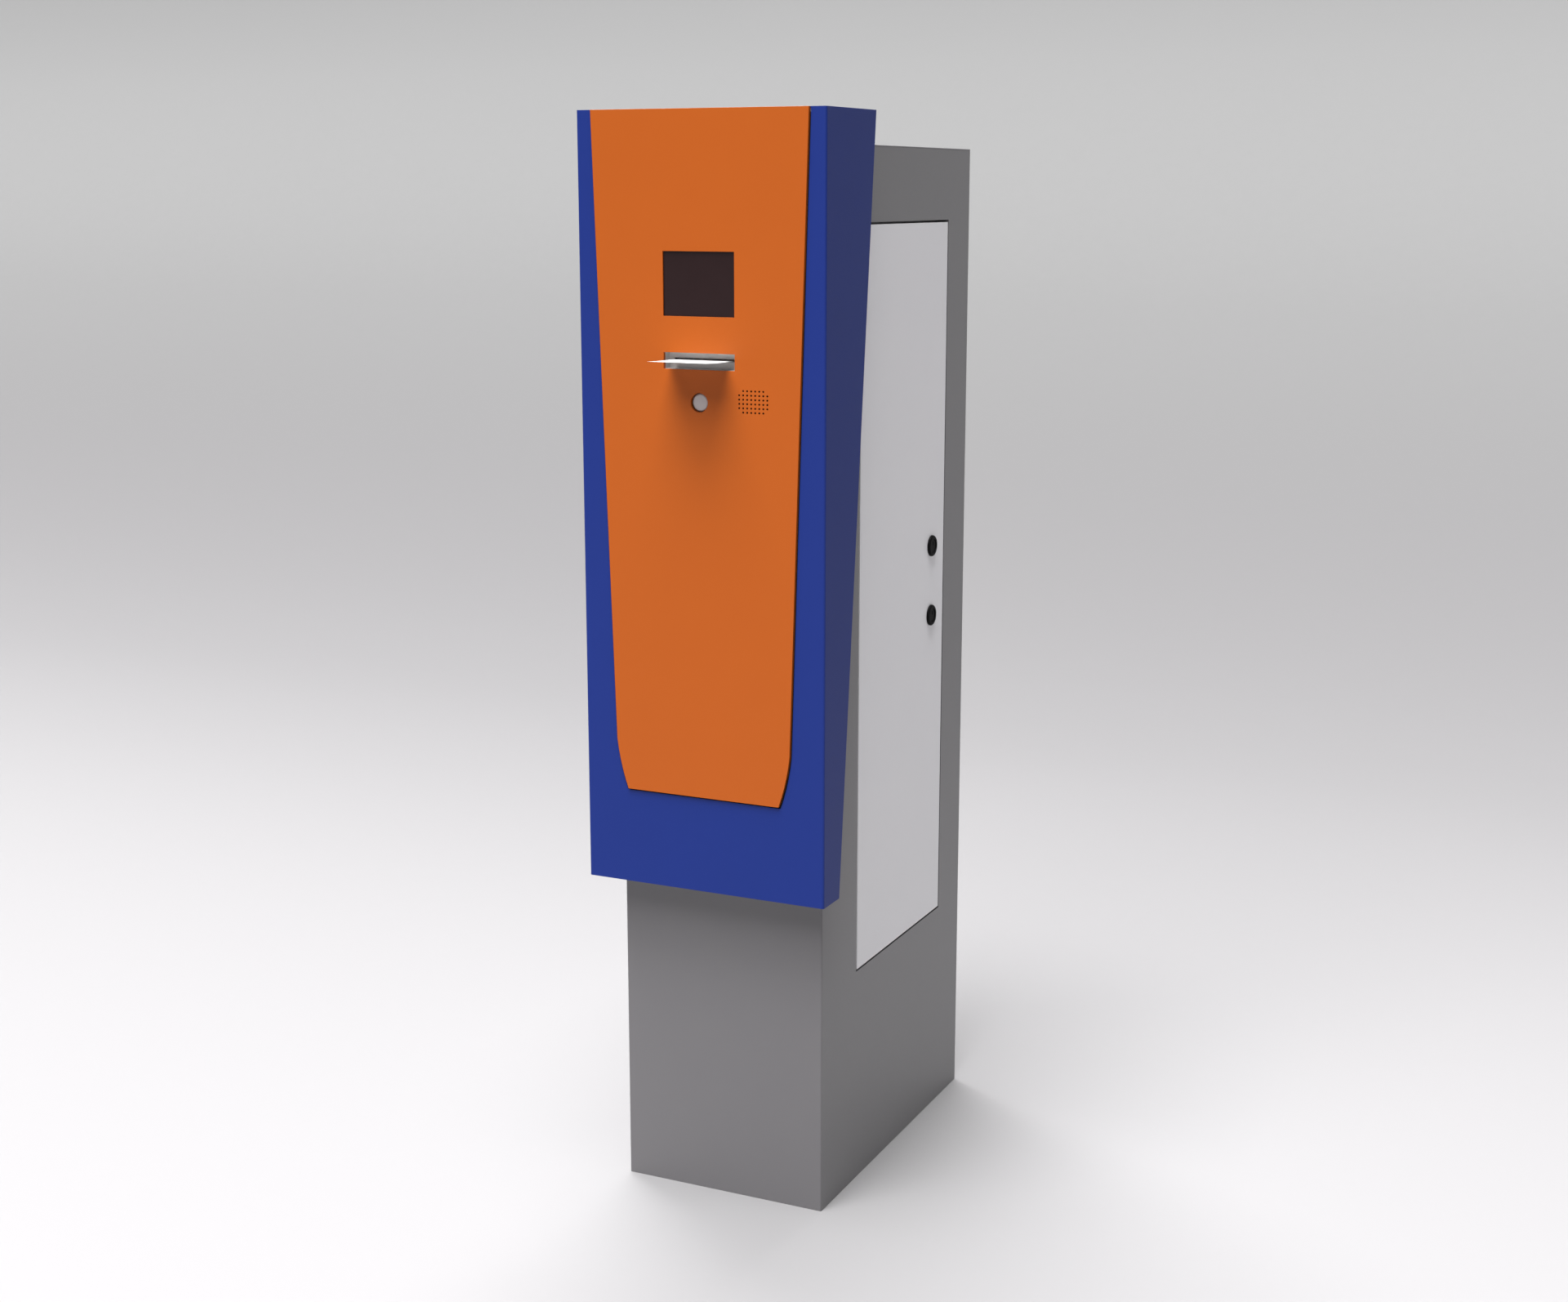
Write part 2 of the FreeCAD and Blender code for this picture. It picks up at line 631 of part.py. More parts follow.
def hood_rails():
    """Folded channels that carry the hood and fascia off the cabinet's front wall."""
    front = "-" + FASCIA_BACK + " + 6"
    back = "-" + HALF_DEPTH
    rails, bolts = [], []
    for side, sign in (("left", -1), ("right", 1)):
        near, far = "%d" % (104 * sign), "%d" % (134 * sign)
        near_in, far_in = "%d" % (106 * sign), "%d" % (132 * sign)
        corners = [(near, back), (near, front), (far, front), (far, front + " + 2"),
                   (near_in, front + " + 2"), (near_in, back + " - 2"), (far, back + " - 2"),
                   (far, back)]
        if sign > 0:
            corners.reverse()
        rail = extruded("hood_rail_" + side, "XY_Plane", "d.fascia_knee + 5", "720", corners)
        threads = new_sketch(rail, "XZ_Plane", HALF_DEPTH + " + 6")
        bolt_across = "%d" % (HOOD_BOLT_ACROSS * sign)
        for level in HOOD_BOLT_LEVELS:
            circle(threads, bolt_across, level, "3")
        pocket(rail, threads, "7")
        rails.append(rail)
        for level in HOOD_BOLT_LEVELS:
            shank = rod("bolt_shank", ALONG_Y, bolt_across, "-" + HALF_DEPTH + " - 8", level, "3",
                        "16")
            head = hexagon("bolt_head", ALONG_Y, bolt_across,
                           "-" + HALF_DEPTH + " + d.sheet_steel", level, "5.8", "4")
            bolts.append(joined("hood_bolt", [shank, head]))
    group("hood_rails", rails)
    group("hood_bolts", bolts)
    foot_back = "-" + HALF_DEPTH
    foot_front = "-" + FASCIA_BACK
    extruded("hood_foot_bracket", "YZ_Plane", "-100", "200", [
        (foot_front, "d.hood_bottom + 12"), (foot_back, "d.hood_bottom + 12"),
        (foot_back, "d.hood_bottom + 52"), (foot_back + " - 2", "d.hood_bottom + 52"),
        (foot_back + " - 2", "d.hood_bottom + 14"), (foot_front + " + 2", "d.hood_bottom + 14"),
        (foot_front + " + 2", "d.hood_bottom + 52"), (foot_front, "d.hood_bottom + 52")])


# ---------------------------------------------------------------- display, outlet, button, speaker

def display():
    """The cover glass in the fascia's rebate, the LCD module behind it and its bracket."""
    half_width = "d.screen_width/2"
    low = "d.screen_centre - d.screen_height/2"
    high = "d.screen_centre + d.screen_height/2"
    slab("display_window", "XZ_Plane", FASCIA_BACK + " + 1", "2", "-%s - 4.5" % half_width,
         half_width + " + 4.5", low + " - 4.5", high + " + 4.5")
    module = slab("display_module", "XZ_Plane", FASCIA_BACK + " - 12", "12",
                  "-%s - 10" % half_width, half_width + " + 10", low + " - 8", high + " + 8")
    rim = new_sketch(module, "XZ_Plane", FASCIA_BACK)
    rectangle(rim, "-%s + 1" % half_width, half_width + " - 1", low + " + 1", high + " - 1")
    pocket(module, rim, "1.5")
    bracket = new_body("display_bracket")
    web = new_sketch(bracket, "XZ_Plane", FASCIA_BACK + " - 14")
    rectangle(web, "-%s - 22" % half_width, half_width + " + 22", low + " - 8", high + " + 8")
    rectangle(web, "-%s + 10" % half_width, half_width + " - 10", low + " + 12", high + " - 12")
    pad(bracket, web, "2")
    feet = new_sketch(bracket, "XZ_Plane", FASCIA_BACK + " - 12.5")
    for sign in ("-", ""):
        rectangle(feet, "%s(%s + %g)" % (sign, half_width, 22 if sign else 20),
                  "%s(%s + %g)" % (sign, half_width, 20 if sign else 22), low + " - 8",
                  high + " + 8")
    pad(bracket, feet, "12.5")


def ticket_outlet():
    """The outlet's recess plate behind the fascia, with the slit that the ticket comes through."""
    half_width, half_height = "d.outlet_width/2", "d.outlet_height/2"
    surround = slab("ticket_outlet", "XZ_Plane", FASCIA_BACK + " - 12", "12",
                    "-%s - 6" % half_width, half_width + " + 6",
                    "d.outlet_centre - %s - 6" % half_height,
                    "d.outlet_centre + %s + 6" % half_height)
    recess = new_sketch(surround, "XZ_Plane", FASCIA_BACK)
    rectangle(recess, "-" + half_width, half_width, "d.outlet_centre - " + half_height,
              "d.outlet_centre + " + half_height)
    pocket(surround, recess, "10")
    slit = new_sketch(surround, "XZ_Plane", FASCIA_BACK)
    rectangle(slit, "-d.ticket_width/2 - 1.5", "d.ticket_width/2 + 1.5", "d.paper_level - 1.5",
              "d.paper_level + 1.5")
    pocket(surround, slit, "12")
    guides = [slab(name, "XY_Plane", level, "1.3", "-d.ticket_width/2 - 4",
                   "d.ticket_width/2 + 4", "-%s + 12" % FASCIA_BACK, "-%s + 54" % FASCIA_BACK)
              for name, level in (("guide_lower", "d.paper_level - 2.5"),
                                  ("guide_upper", "d.paper_level + 1.2"))]
    group("ticket_guides", guides)


def ticket():
    """The printed ticket, held out of the outlet."""
    return slab("ticket", "XY_Plane", "d.paper_level - d.paper_thickness/2", "d.paper_thickness",
                "-d.ticket_width/2", "d.ticket_width/2", "-d.ticket_tip",
                "-d.ticket_tip + d.ticket_length")


def push_button():
    """A metal push-button: domed cap on a stem, sprung in a threaded housing."""
    face = "-%s - 2" % FASCIA_BACK
    turned("push_button", "YZ_Plane", "H_Axis", [
        ("0", "0"), ("30", "0"), ("30", "3"), ("8", "3"), ("8", "d.button_radius"),
        ("1.5", "d.button_radius"), ("0.6", "d.button_radius - 0.8"),
        ("0", "d.button_radius - 2.2")][::-1], "0", face, "d.button_height")
    turned("button_housing", "YZ_Plane", "H_Axis", [
        ("2", "d.button_radius + 0.4"), ("2", "15"), ("5", "15"), ("5", "13"), ("26", "13"),
        ("26", "3.3"), ("23", "3.3"), ("23", "d.button_radius + 0.4")], "0", face,
        "d.button_height")
    slab("button_switch", "XZ_Plane", FASCIA_BACK + " - 46", "14", "-10", "10",
         "d.button_height - 14", "d.button_height + 14")


def speaker():
    """A small cone loudspeaker behind the grille: basket, magnet and square foam pad."""
    turned("speaker", "YZ_Plane", "H_Axis", [
        ("2", "25"), ("2", "28"), ("4", "28"), ("12", "16"), ("20", "16"), ("20", "0"),
        ("11", "0")], "d.grille_across", "-" + FASCIA_BACK, "d.grille_height")
    half = "28"
    slab("speaker_gasket", "XZ_Plane", FASCIA_BACK + " - 2", "2", "d.grille_across - " + half,
         "d.grille_across + " + half, "d.grille_height - " + half, "d.grille_height + " + half,
         holes=[("d.grille_across", "d.grille_height", "23")])


# ---------------------------------------------------------------- printer

MOTOR_SHAFT = 2.5
PINION_BEARING = math.radians(-60)
PINION_DISTANCE = number("d.gear_module*(d.roller_teeth + d.pinion_teeth)/2")
PINION_ALONG = number("d.platen_along") + PINION_DISTANCE * math.cos(PINION_BEARING)
PINION_UP = number(ROLLER_HEIGHT) + PINION_DISTANCE * math.sin(PINION_BEARING)


def involute_gear(name, teeth, phase, bore):
    """A spur gear's face with true involute flanks, one tooth's middle at the phase angle."""
    module = number("d.gear_module")
    pitch = module * teeth / 2
    base = pitch * math.cos(math.radians(20))
    tip, root = pitch + 0.85 * module, pitch - 1.15 * module
    half_tooth = math.pi / (2 * teeth) - 0.06 * module / pitch
    involute_at_pitch = math.tan(math.radians(20)) - math.radians(20)

    def flank_angle(radius):
        pressure = math.acos(min(1, base / radius))
        return half_tooth + involute_at_pitch - (math.tan(pressure) - pressure)

    start = max(base, root)
    radii = [start, (start + tip) / 2, tip]
    points = []
    for tooth in range(teeth):
        middle = phase + 2 * math.pi * tooth / teeth
        rising = [(radius, middle - flank_angle(radius)) for radius in radii]
        falling = [(radius, middle + flank_angle(radius)) for radius in reversed(radii)]
        foot = [(root, middle - flank_angle(start))] if root < start else []
        heel = [(root, middle + flank_angle(start))] if root < start else []
        points += foot + rising + falling + heel
    corners = [Vector(0, radius * math.cos(angle), radius * math.sin(angle))
               for radius, angle in points]
    rim = Part.Face(Part.makePolygon(corners + corners[:1]))
    gear = rim.extrude(Vector(number("d.gear_width"), 0, 0))
    if bore:
        gear = gear.cut(Part.makeCylinder(bore, number("d.gear_width"), Vector(), ALONG_X))
    else:
        gear = gear.fuse(Part.makeCylinder(MOTOR_SHAFT, 11, Vector(-6, 0, 0), ALONG_X))
    item = document.addObject("Part::Feature", name)
    item.Label = name
    item.Shape = gear
    sub_parts.append(item)
    return item


def printer_chassis():
    """Two side cheeks folded up from a floor, bored for the roller shafts."""
    low, high = "d.paper_level - 45", "d.paper_level + 22"
    back, front = "-120", "-239"
    chassis = slab("printer_chassis", "YZ_Plane", "-53", "106", front, back, low, high)
    channel = new_sketch(chassis, "YZ_Plane", "-51")
    rectangle(channel, front + " - 1", back + " + 1", low + " + 2", high + " + 1")
    pocket(chassis, channel, "102", towards_normal=True)
    bores = new_sketch(chassis, "YZ_Plane", "60")
    for along in ("d.feed_roller_along", "d.platen_along"):
        circle(bores, along, ROLLER_HEIGHT, "d.shaft_radius + d.running_fit")
    circle(bores, "d.feed_roller_along", PINCH_HEIGHT, "d.shaft_radius + d.running_fit")
    pocket(chassis, bores, "120")
    stud = new_sketch(chassis, "YZ_Plane", "-62")
    circle(stud, "(d.feed_roller_along + d.platen_along)/2", ROLLER_HEIGHT, "d.shaft_radius")
    pad(chassis, stud, "9.5")
    return chassis


def roller(label, radius, along, height, gear_end):
    """A rubber-covered roller with its shaft ends through the cheeks."""
    left = "-61" if gear_end else "-55"
    turned(label, "XY_Plane", "H_Axis", [
        (left, "0"), ("55", "0"), ("55", "d.shaft_radius"), ("43", "d.shaft_radius"),
        ("43", radius), ("-43", radius), ("-43", "d.shaft_radius"),
        (left, "d.shaft_radius")], "0", along, height)


def printer():
    """The ticket printer: rollers, print head, cutter, motor and the gear train."""
    printer_chassis()
    roller("platen_roller", "d.roller_radius", "d.platen_along", ROLLER_HEIGHT, True)
    roller("feed_roller", "d.roller_radius", "d.feed_roller_along", ROLLER_HEIGHT, True)
    roller("pinch_roller", "d.pinch_radius", "d.feed_roller_along", PINCH_HEIGHT, False)
    slab("print_head", "YZ_Plane", "-45", "90", "d.platen_along - 6", "d.platen_along + 18",
         "d.paper_level + 0.6", "d.paper_level + 14")
    cutter = slab("ticket_cutter", "YZ_Plane", "-50.5", "101", "-206", "-196",
                  "d.paper_level - 30", "d.paper_level + 18")
    throat = new_sketch(cutter, "XZ_Plane", "210")
    rectangle(throat, "-43", "43", "d.paper_level - 2", "d.paper_level + 2")
    pocket(cutter, throat, "20")

    gear_left = -60
    height = number(ROLLER_HEIGHT)
    platen = number("d.platen_along")
    feed = number("d.feed_roller_along")
    roller_teeth, idler_teeth, pinion_teeth = [
        round(number("d.%s_teeth" % wheel)) for wheel in ("roller", "idler", "pinion")]
    shaft = number("d.shaft_radius")
    idler = (platen + feed) / 2
    gears = [
        ("platen_gear", roller_teeth, 0, shaft, platen, height),
        ("feed_gear", roller_teeth, 0, shaft, feed, height),
        ("idler_gear", idler_teeth, math.pi / idler_teeth, shaft + number("d.running_fit"), idler,
         height),
    ]
    for name, teeth, phase, bore, along, up in gears:
        item = involute_gear(name, teeth, phase, bore)
        item.Placement = Placement(Vector(gear_left, along, up), Rotation())
    contact_phase = PINION_BEARING * roller_teeth / pinion_teeth
    pinion_phase = PINION_BEARING + math.pi + math.pi / pinion_teeth + contact_phase
    item = involute_gear("motor_pinion", pinion_teeth, pinion_phase, 0)
    item.Placement = Placement(Vector(gear_left, PINION_ALONG, PINION_UP), Rotation())


def paper_supply():
    """The paper roll on its spindle in an open-topped bracket, and the web to the print head."""
    turned("paper_roll", "XY_Plane", "H_Axis", [
        ("-d.ticket_width/2", "d.spindle_radius + d.running_fit"),
        ("d.ticket_width/2", "d.spindle_radius + d.running_fit"),
        ("d.ticket_width/2", "d.roll_radius"), ("-d.ticket_width/2", "d.roll_radius")],
        "0", "d.roll_along", ROLL_HEIGHT)
    turned("roll_spindle", "XY_Plane", "H_Axis", [
        ("-54", "0"), ("54", "0"), ("54", "12"), ("51", "12"), ("51", "d.spindle_radius"),
        ("-51", "d.spindle_radius"), ("-51", "12"), ("-54", "12")], "0", "d.roll_along",
        ROLL_HEIGHT)
    bracket = slab("roll_bracket", "XZ_Plane", "-d.roll_along - 25", "50", "-48", "48",
                   SHELF_TOP, ROLL_HEIGHT + " + 14")
    throat = new_sketch(bracket, "XZ_Plane", "-d.roll_along - 30")
    rectangle(throat, "-45", "45", SHELF_TOP + " + 2", ROLL_HEIGHT + " + 20")
    pocket(bracket, throat, "60", towards_normal=True)
    seat = new_sketch(bracket, "YZ_Plane", "60")
    circle(seat, "d.roll_along", ROLL_HEIGHT, "d.spindle_radius")
    pocket(bracket, seat, "120")
    mouth = new_sketch(bracket, "YZ_Plane", "60")
    rectangle(mouth, "d.roll_along - d.spindle_radius", "d.roll_along + d.spindle_radius",
              ROLL_HEIGHT, ROLL_HEIGHT + " + 20")
    pocket(bracket, mouth, "120")
    slab("paper_web", "XY_Plane", "d.paper_level - d.paper_thickness/2", "d.paper_thickness",
         "-d.ticket_width/2", "d.ticket_width/2", "-188", "d.roll_along")


def instrument_shelf():
    """The folded shelf behind the front wall that carries the printer and the paper roll."""
    return extruded("instrument_shelf", "XZ_Plane", "-60", "303", [
        ("-" + INNER_HALF_WIDTH, SHELF_TOP + " - 2"), ("116", SHELF_TOP + " - 2"),
        ("116", SHELF_TOP + " - 20"), ("118", SHELF_TOP + " - 20"), ("118", SHELF_TOP),
        ("-" + INNER_HALF_WIDTH + " + 2", SHELF_TOP),
        ("-" + INNER_HALF_WIDTH + " + 2", SHELF_TOP + " + 22"),
        ("-" + INNER_HALF_WIDTH, SHELF_TOP + " + 22")])


def printer_motor():
    """The stepper motor on its angle bracket beside the left cheek."""
    half = "17.5"
    body = slab("stepper_motor", "YZ_Plane", "-97", "32", "%s - %s" % (PINION_ALONG, half),
                "%s + %s" % (PINION_ALONG, half), "%s - %s" % (PINION_UP, half),
                "%s + %s" % (PINION_UP, half))
    boss = new_sketch(body, "YZ_Plane", "-65")
    circle(boss, "%s" % PINION_ALONG, "%s" % PINION_UP, "8")
    pad(body, boss, "2")
    shaft_hole = new_sketch(body, "YZ_Plane", "-60")
    circle(shaft_hole, "%s" % PINION_ALONG, "%s" % PINION_UP, "3")
    pocket(body, shaft_hole, "8")
    plate = slab("motor_bracket", "YZ_Plane", "-65", "2", "%s - 20" % PINION_ALONG,
                 "%s + 20" % PINION_ALONG, SHELF_TOP, "%s + 20" % PINION_UP,
                 holes=[("%s" % PINION_ALONG, "%s" % PINION_UP, "8")])
    foot = new_sketch(plate, "XY_Plane", SHELF_TOP)
    rectangle(foot, "-100", "-63.5", "%s + 18" % PINION_ALONG, "%s + 34" % PINION_ALONG)
    pad(plate, foot, "2")
    rib = new_sketch(plate, "XZ_Plane", "%s" % (-PINION_ALONG - 20))
    outline(rib, [("-100", SHELF_TOP), ("-63.5", SHELF_TOP), ("-63.5", "%s + 15" % PINION_UP),
                  ("-67", "%s + 15" % PINION_UP), ("-100", SHELF_TOP + " + 8")])
    pad(plate, rib, "2")


# ---------------------------------------------------------------- electrics

def mounting_plate():
    """A folded plate stood off the left wall, which carries the electrics."""
    wall, web = "-" + INNER_HALF_WIDTH, ELECTRICS_WEB
    return extruded("mounting_plate", "XY_Plane", "330", "620", [
        (wall, "-150"), (web, "-150"), (web, "190"), (wall, "190"), (wall, "175"),
        (wall + " + 2", "175"), (wall + " + 2", "188"), (web + " - 2", "188"),
        (web + " - 2", "-148"), (wall + " + 2", "-148"), (wall + " + 2", "-135"),
        (wall, "-135")])


def electrics():
    """Top-hat rail with breaker, terminals and power supply, and the controller board above."""
    rail = "d.door_bottom + 302"
    web = ELECTRICS_WEB

    def section(points):
        return [("%s + %g" % (web, across), "%s + %g" % (rail, up)) for across, up in points]

    extruded("din_rail", "XZ_Plane", "-150", "290", section([
        (6.5, -17.5), (7.5, -17.5), (7.5, -12.5), (1, -12.5), (1, 12.5), (7.5, 12.5),
        (7.5, 17.5), (6.5, 17.5), (6.5, 13.5), (0, 13.5), (0, -13.5), (6.5, -13.5)]))
    breaker = extruded("circuit_breaker", "XZ_Plane", "74", "36", section([
        (7.5, -42), (50, -42), (50, -22.5), (68, -22.5), (68, 22.5), (50, 22.5), (50, 42),
        (7.5, 42)]))
    toggle_slot = new_sketch(breaker, "YZ_Plane", web + " + 68")
    rectangle(toggle_slot, "-98", "-86", rail + " - 10", rail + " + 10")
    pocket(breaker, toggle_slot, "11")
    barrel = rod("toggle_barrel", ALONG_Y, web + " + 63", "-97.5", rail, "4.6", "11")
    lever = block("toggle_lever", web + " + 64.2", "-96", rail + " - 1.7", "15", "8", "3.4")
    lever.Placement = Placement(Vector(), Rotation(ALONG_Y, TOGGLE_LEAN))
    put(lever, web + " + 63", "-96", rail + " - 1.7")
    keep(joined("breaker_toggle_solid", [barrel, lever]), "breaker_toggle")

    terminals = extruded("terminal_block", "XZ_Plane", "0", "60", section([
        (7.5, -25), (28, -25), (30, -14), (42, -14), (42, 14), (30, 14), (28, 25), (7.5, 25)]))
    clamp = new_sketch(terminals, "YZ_Plane", web + " + 42")
    rectangle(clamp, "-58.5", "-54", rail + " + 3", rail + " + 11")
    rectangle(clamp, "-58.5", "-54", rail + " - 11", rail + " - 3")
    clamps = pocket(terminals, clamp, "8")
    rows = terminals.newObject("PartDesign::LinearPattern", "terminal_row")
    rows.Originals = [clamps]
    rows.Direction = (clamp, ["H_Axis"])
    rows.Length = 52.5
    rows.Occurrences = 8
    terminals.Tip = rows

    supply = slab("power_supply", "XZ_Plane", "-100", "70", web + " + 7.5", web + " + 62",
                  rail + " - 55", rail + " + 55")
    vent = new_sketch(supply, "YZ_Plane", web + " + 62")
    rectangle(vent, "38", "92", rail + " - 34", rail + " - 30")
    vents = pocket(supply, vent, "3")
    louvres = supply.newObject("PartDesign::LinearPattern", "supply_vents")
    louvres.Originals = [vents]
    louvres.Direction = (vent, ["V_Axis"])
    louvres.Length = 64
    louvres.Occurrences = 9
    supply.Tip = louvres


def controller_board():
    """The circuit board on four spacers, with its heat sink, capacitors and plug rows."""
    low = "d.door_bottom + 425"
    board = slab("controller_board", "YZ_Plane", ELECTRICS_WEB + " + 10", "1.6", "-110", "110",
                 low, low + " + 170")
    spacers = new_sketch(board, "YZ_Plane", ELECTRICS_WEB)
    for along in ("-103", "103"):
        for up in (" + 7", " + 163"):
            circle(spacers, along, low + up, "3.5")
    pad(board, spacers, "10")
    top = ELECTRICS_WEB + " + 11.5"
    parts = [
        ("-96", "-84", 20, 150, "11"),
        ("-96", "96", 153, 165, "12"),
        ("84", "96", 15, 120, "9"),
        ("-60", "-12", 95, 143, "6"),
        ("10", "46", 60, 96, "3"),
        ("-70", "-50", 15, 70, "15"),
        ("-20", "70", 12, 30, "14"),
    ]
    for left, right, bottom, upper, tall in parts:
        component = new_sketch(board, "YZ_Plane", top)
        rectangle(component, left, right, "%s + %g" % (low, bottom), "%s + %g" % (low, upper))
        pad(board, component, tall)
    fins = new_sketch(board, "YZ_Plane", top)
    for index in range(7):
        along = -60 + 7.5 * index
        rectangle(fins, "%g" % along, "%g" % (along + 3), low + " + 95", low + " + 143")
    pad(board, fins, "22")
    cans = new_sketch(board, "YZ_Plane", top)
    for index in range(3):
        circle(cans, "%g" % (62 - 18 * index), low + " + 125", "7")
    pad(board, cans, "24")


def document_problems():
    """Names of objects that failed, and of sub-parts without a sound solid."""
    failed = [item.Name for item in document.Objects
              if "Invalid" in item.State or "Error" in item.State]
    unsound = [item.Label for item in sub_parts
               if item.Shape.isNull() or not item.Shape.isValid() or not item.Shape.Solids]
    return failed + unsound


cabinet_shell()
back_panel()
top_cover()
base_tray()
gland_plate()
door_frame()
door_seal()
side_door()
door_stiffener()
hinges()
group("lock_nuts", [quarter_turn_lock("upper", "+"), quarter_turn_lock("lower", "-")])
hood_shell()
fascia_panel()
fascia_ring("fascia_gasket", FASCIA_BACK + " - 3", "3", "8", "6")
fascia_ring("fascia_frame", FASCIA_BACK + " - 6", "3", "12", "8")
hood_rails()
display()
ticket_outlet()
ticket()
push_button()
speaker()
printer()
paper_supply()
instrument_shelf()
printer_motor()
mounting_plate()
electrics()
controller_board()

document.recompute()
problems = document_problems()
if problems:
    raise SystemExit("these failed: " + ", ".join(problems))
os.makedirs("parts", exist_ok=True)
for item in sub_parts:
    item.Shape.exportStep("parts/%s.step" % item.Label)
print("%d sub-parts written" % len(sub_parts))
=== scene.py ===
import json
import math

import bpy
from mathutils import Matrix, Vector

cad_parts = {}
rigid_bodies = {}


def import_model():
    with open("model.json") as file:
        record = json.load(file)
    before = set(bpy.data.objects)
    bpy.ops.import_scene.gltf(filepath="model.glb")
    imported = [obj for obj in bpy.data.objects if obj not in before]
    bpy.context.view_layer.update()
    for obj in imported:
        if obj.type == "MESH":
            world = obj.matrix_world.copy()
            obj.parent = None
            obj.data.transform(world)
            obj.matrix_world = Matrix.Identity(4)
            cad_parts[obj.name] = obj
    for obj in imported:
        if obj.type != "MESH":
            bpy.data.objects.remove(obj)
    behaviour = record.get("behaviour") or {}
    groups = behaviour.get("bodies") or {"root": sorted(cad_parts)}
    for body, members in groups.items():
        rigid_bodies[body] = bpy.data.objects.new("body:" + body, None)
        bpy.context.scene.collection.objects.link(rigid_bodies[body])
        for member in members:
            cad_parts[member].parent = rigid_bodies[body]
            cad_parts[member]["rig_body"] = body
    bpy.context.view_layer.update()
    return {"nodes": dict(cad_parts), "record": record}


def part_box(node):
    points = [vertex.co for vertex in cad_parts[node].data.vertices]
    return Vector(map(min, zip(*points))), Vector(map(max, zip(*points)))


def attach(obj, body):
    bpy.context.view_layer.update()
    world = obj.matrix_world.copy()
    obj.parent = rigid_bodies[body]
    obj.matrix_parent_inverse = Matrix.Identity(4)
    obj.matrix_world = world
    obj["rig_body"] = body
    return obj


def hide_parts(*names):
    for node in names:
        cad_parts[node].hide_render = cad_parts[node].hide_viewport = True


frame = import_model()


# Camera: standing height, to the right of the customer, looking slightly down.
camera = bpy.data.objects.new("camera", bpy.data.cameras.new("camera"))
bpy.context.scene.collection.objects.link(camera)
camera.location = (1.2441, -2.6915, 1.3132)
camera.rotation_euler = (math.radians(90 - 11.80), 0, math.radians(25.27))
camera.data.sensor_width = 36
camera.data.lens = 50.54
bpy.context.scene.camera = camera


# The studio: a pale floor that sweeps up behind the machine, a broad soft source in front and a
# little to the left, and a broader one overhead.  Together they give the long shadow under the
# ticket and the soft one round the foot.
MM = 0.001
SWEEP_START = 2.2
SWEEP_RADIUS = 3.0
SWEEP_STEPS = 24
WALL_HEIGHT = 5.0
FLOOR_SIZE = 60.0
# Each source is a sun: its height, bearing and spread in degrees, and its power.
SOURCES = (("front_source", 56, 9, 40, 4.2), ("overhead_source", 80, 8, 36, 6.2),
           ("back_source", 56, 150, 42, 8.8))
SURROUND_STRENGTH = 0.08
# The paper's colour at each distance behind the machine: painted light falloff, set to stand in
# for how the light drops off.
PAPER_PAINTED_FALLOFF = ((-0.6, "#7c7b7c"), (0.45, "#7b7a7b"), (1.43, "#757475"), (2.7, "#6e6d6e"),
                (3.65, "#6a696a"), (4.4, "#707070"), (4.96, "#868686"))


def linear_colour(hex_text):
    """A colour written as sRGB hex, turned to the linear values that shaders use."""
    channels = [int(hex_text[start:start + 2], 16) / 255 for start in (1, 3, 5)]
    return [c / 12.92 if c <= 0.04045 else ((c + 0.055) / 1.055) ** 2.4 for c in channels] + [1]


def new_material(name):
    """An empty material with its Principled shader joined to the output."""
    material = bpy.data.materials.new(name)
    material.use_nodes = True
    return material, material.node_tree.nodes["Principled BSDF"]


def add_node(owner, kind, settings=None, links=None):
    """Add a node to a material or world.

    Settings go by socket number, socket name or property, and links go to sockets.
    """
    node = owner.node_tree.nodes.new(kind)
    for name, value in (settings or {}).items():
        if isinstance(name, int) or name in node.inputs:
            node.inputs[name].default_value = value
        else:
            setattr(node, name, value)
    for name, socket in (links or {}).items():
        owner.node_tree.links.new(socket, node.inputs[name])
    return node


def finish_shader(material, shader, links, **uniform):
    """Join sockets to the shader and set its uniform values, written with underscores."""
    for name, socket in links.items():
        material.node_tree.links.new(socket, shader.inputs[name])
    for name, value in uniform.items():
        shader.inputs[name.replace("_", " ")].default_value = value


def studio_paper():
    """Backdrop paper, darker to the back as painted light falloff, with a faint mottle of pulp 30
    mm wide.
    """
    material, shader = new_material("backdrop_paper_painted_falloff")
    place = add_node(material, "ShaderNodeTexCoord")
    pulp = add_node(material, "ShaderNodeTexNoise", {"Scale": 1 / (30 * MM), "Detail": 3},
                    {"Vector": place.outputs["Object"]})
    depth = add_node(material, "ShaderNodeSeparateXYZ", {}, {"Vector": place.outputs["Object"]})
    nearest, furthest = PAPER_PAINTED_FALLOFF[0][0], PAPER_PAINTED_FALLOFF[-1][0]
    reach = add_node(material, "ShaderNodeMapRange", {"From Min": nearest, "From Max": furthest},
                     {"Value": depth.outputs["Y"]})
    mottled = add_node(material, "ShaderNodeMath", {"operation": "MULTIPLY_ADD", 1: 0.01},
                       {0: pulp.outputs["Fac"], 2: reach.outputs["Result"]})
    painted_falloff = add_node(material, "ShaderNodeValToRGB", {}, {"Fac": mottled.outputs["Value"]})
    painted_falloff.color_ramp.interpolation = "B_SPLINE"
    for index, (distance, shade) in enumerate(PAPER_PAINTED_FALLOFF):
        position = (distance - nearest) / (furthest - nearest)
        stops = painted_falloff.color_ramp.elements
        stop = stops[0] if index == 0 else stops[-1] if position == 1 else stops.new(position)
        stop.color = linear_colour(shade)
    finish_shader(material, shader, {"Base Color": painted_falloff.outputs["Color"]},
                  Roughness=0.9, Specular_IOR_Level=0.1)
    return material


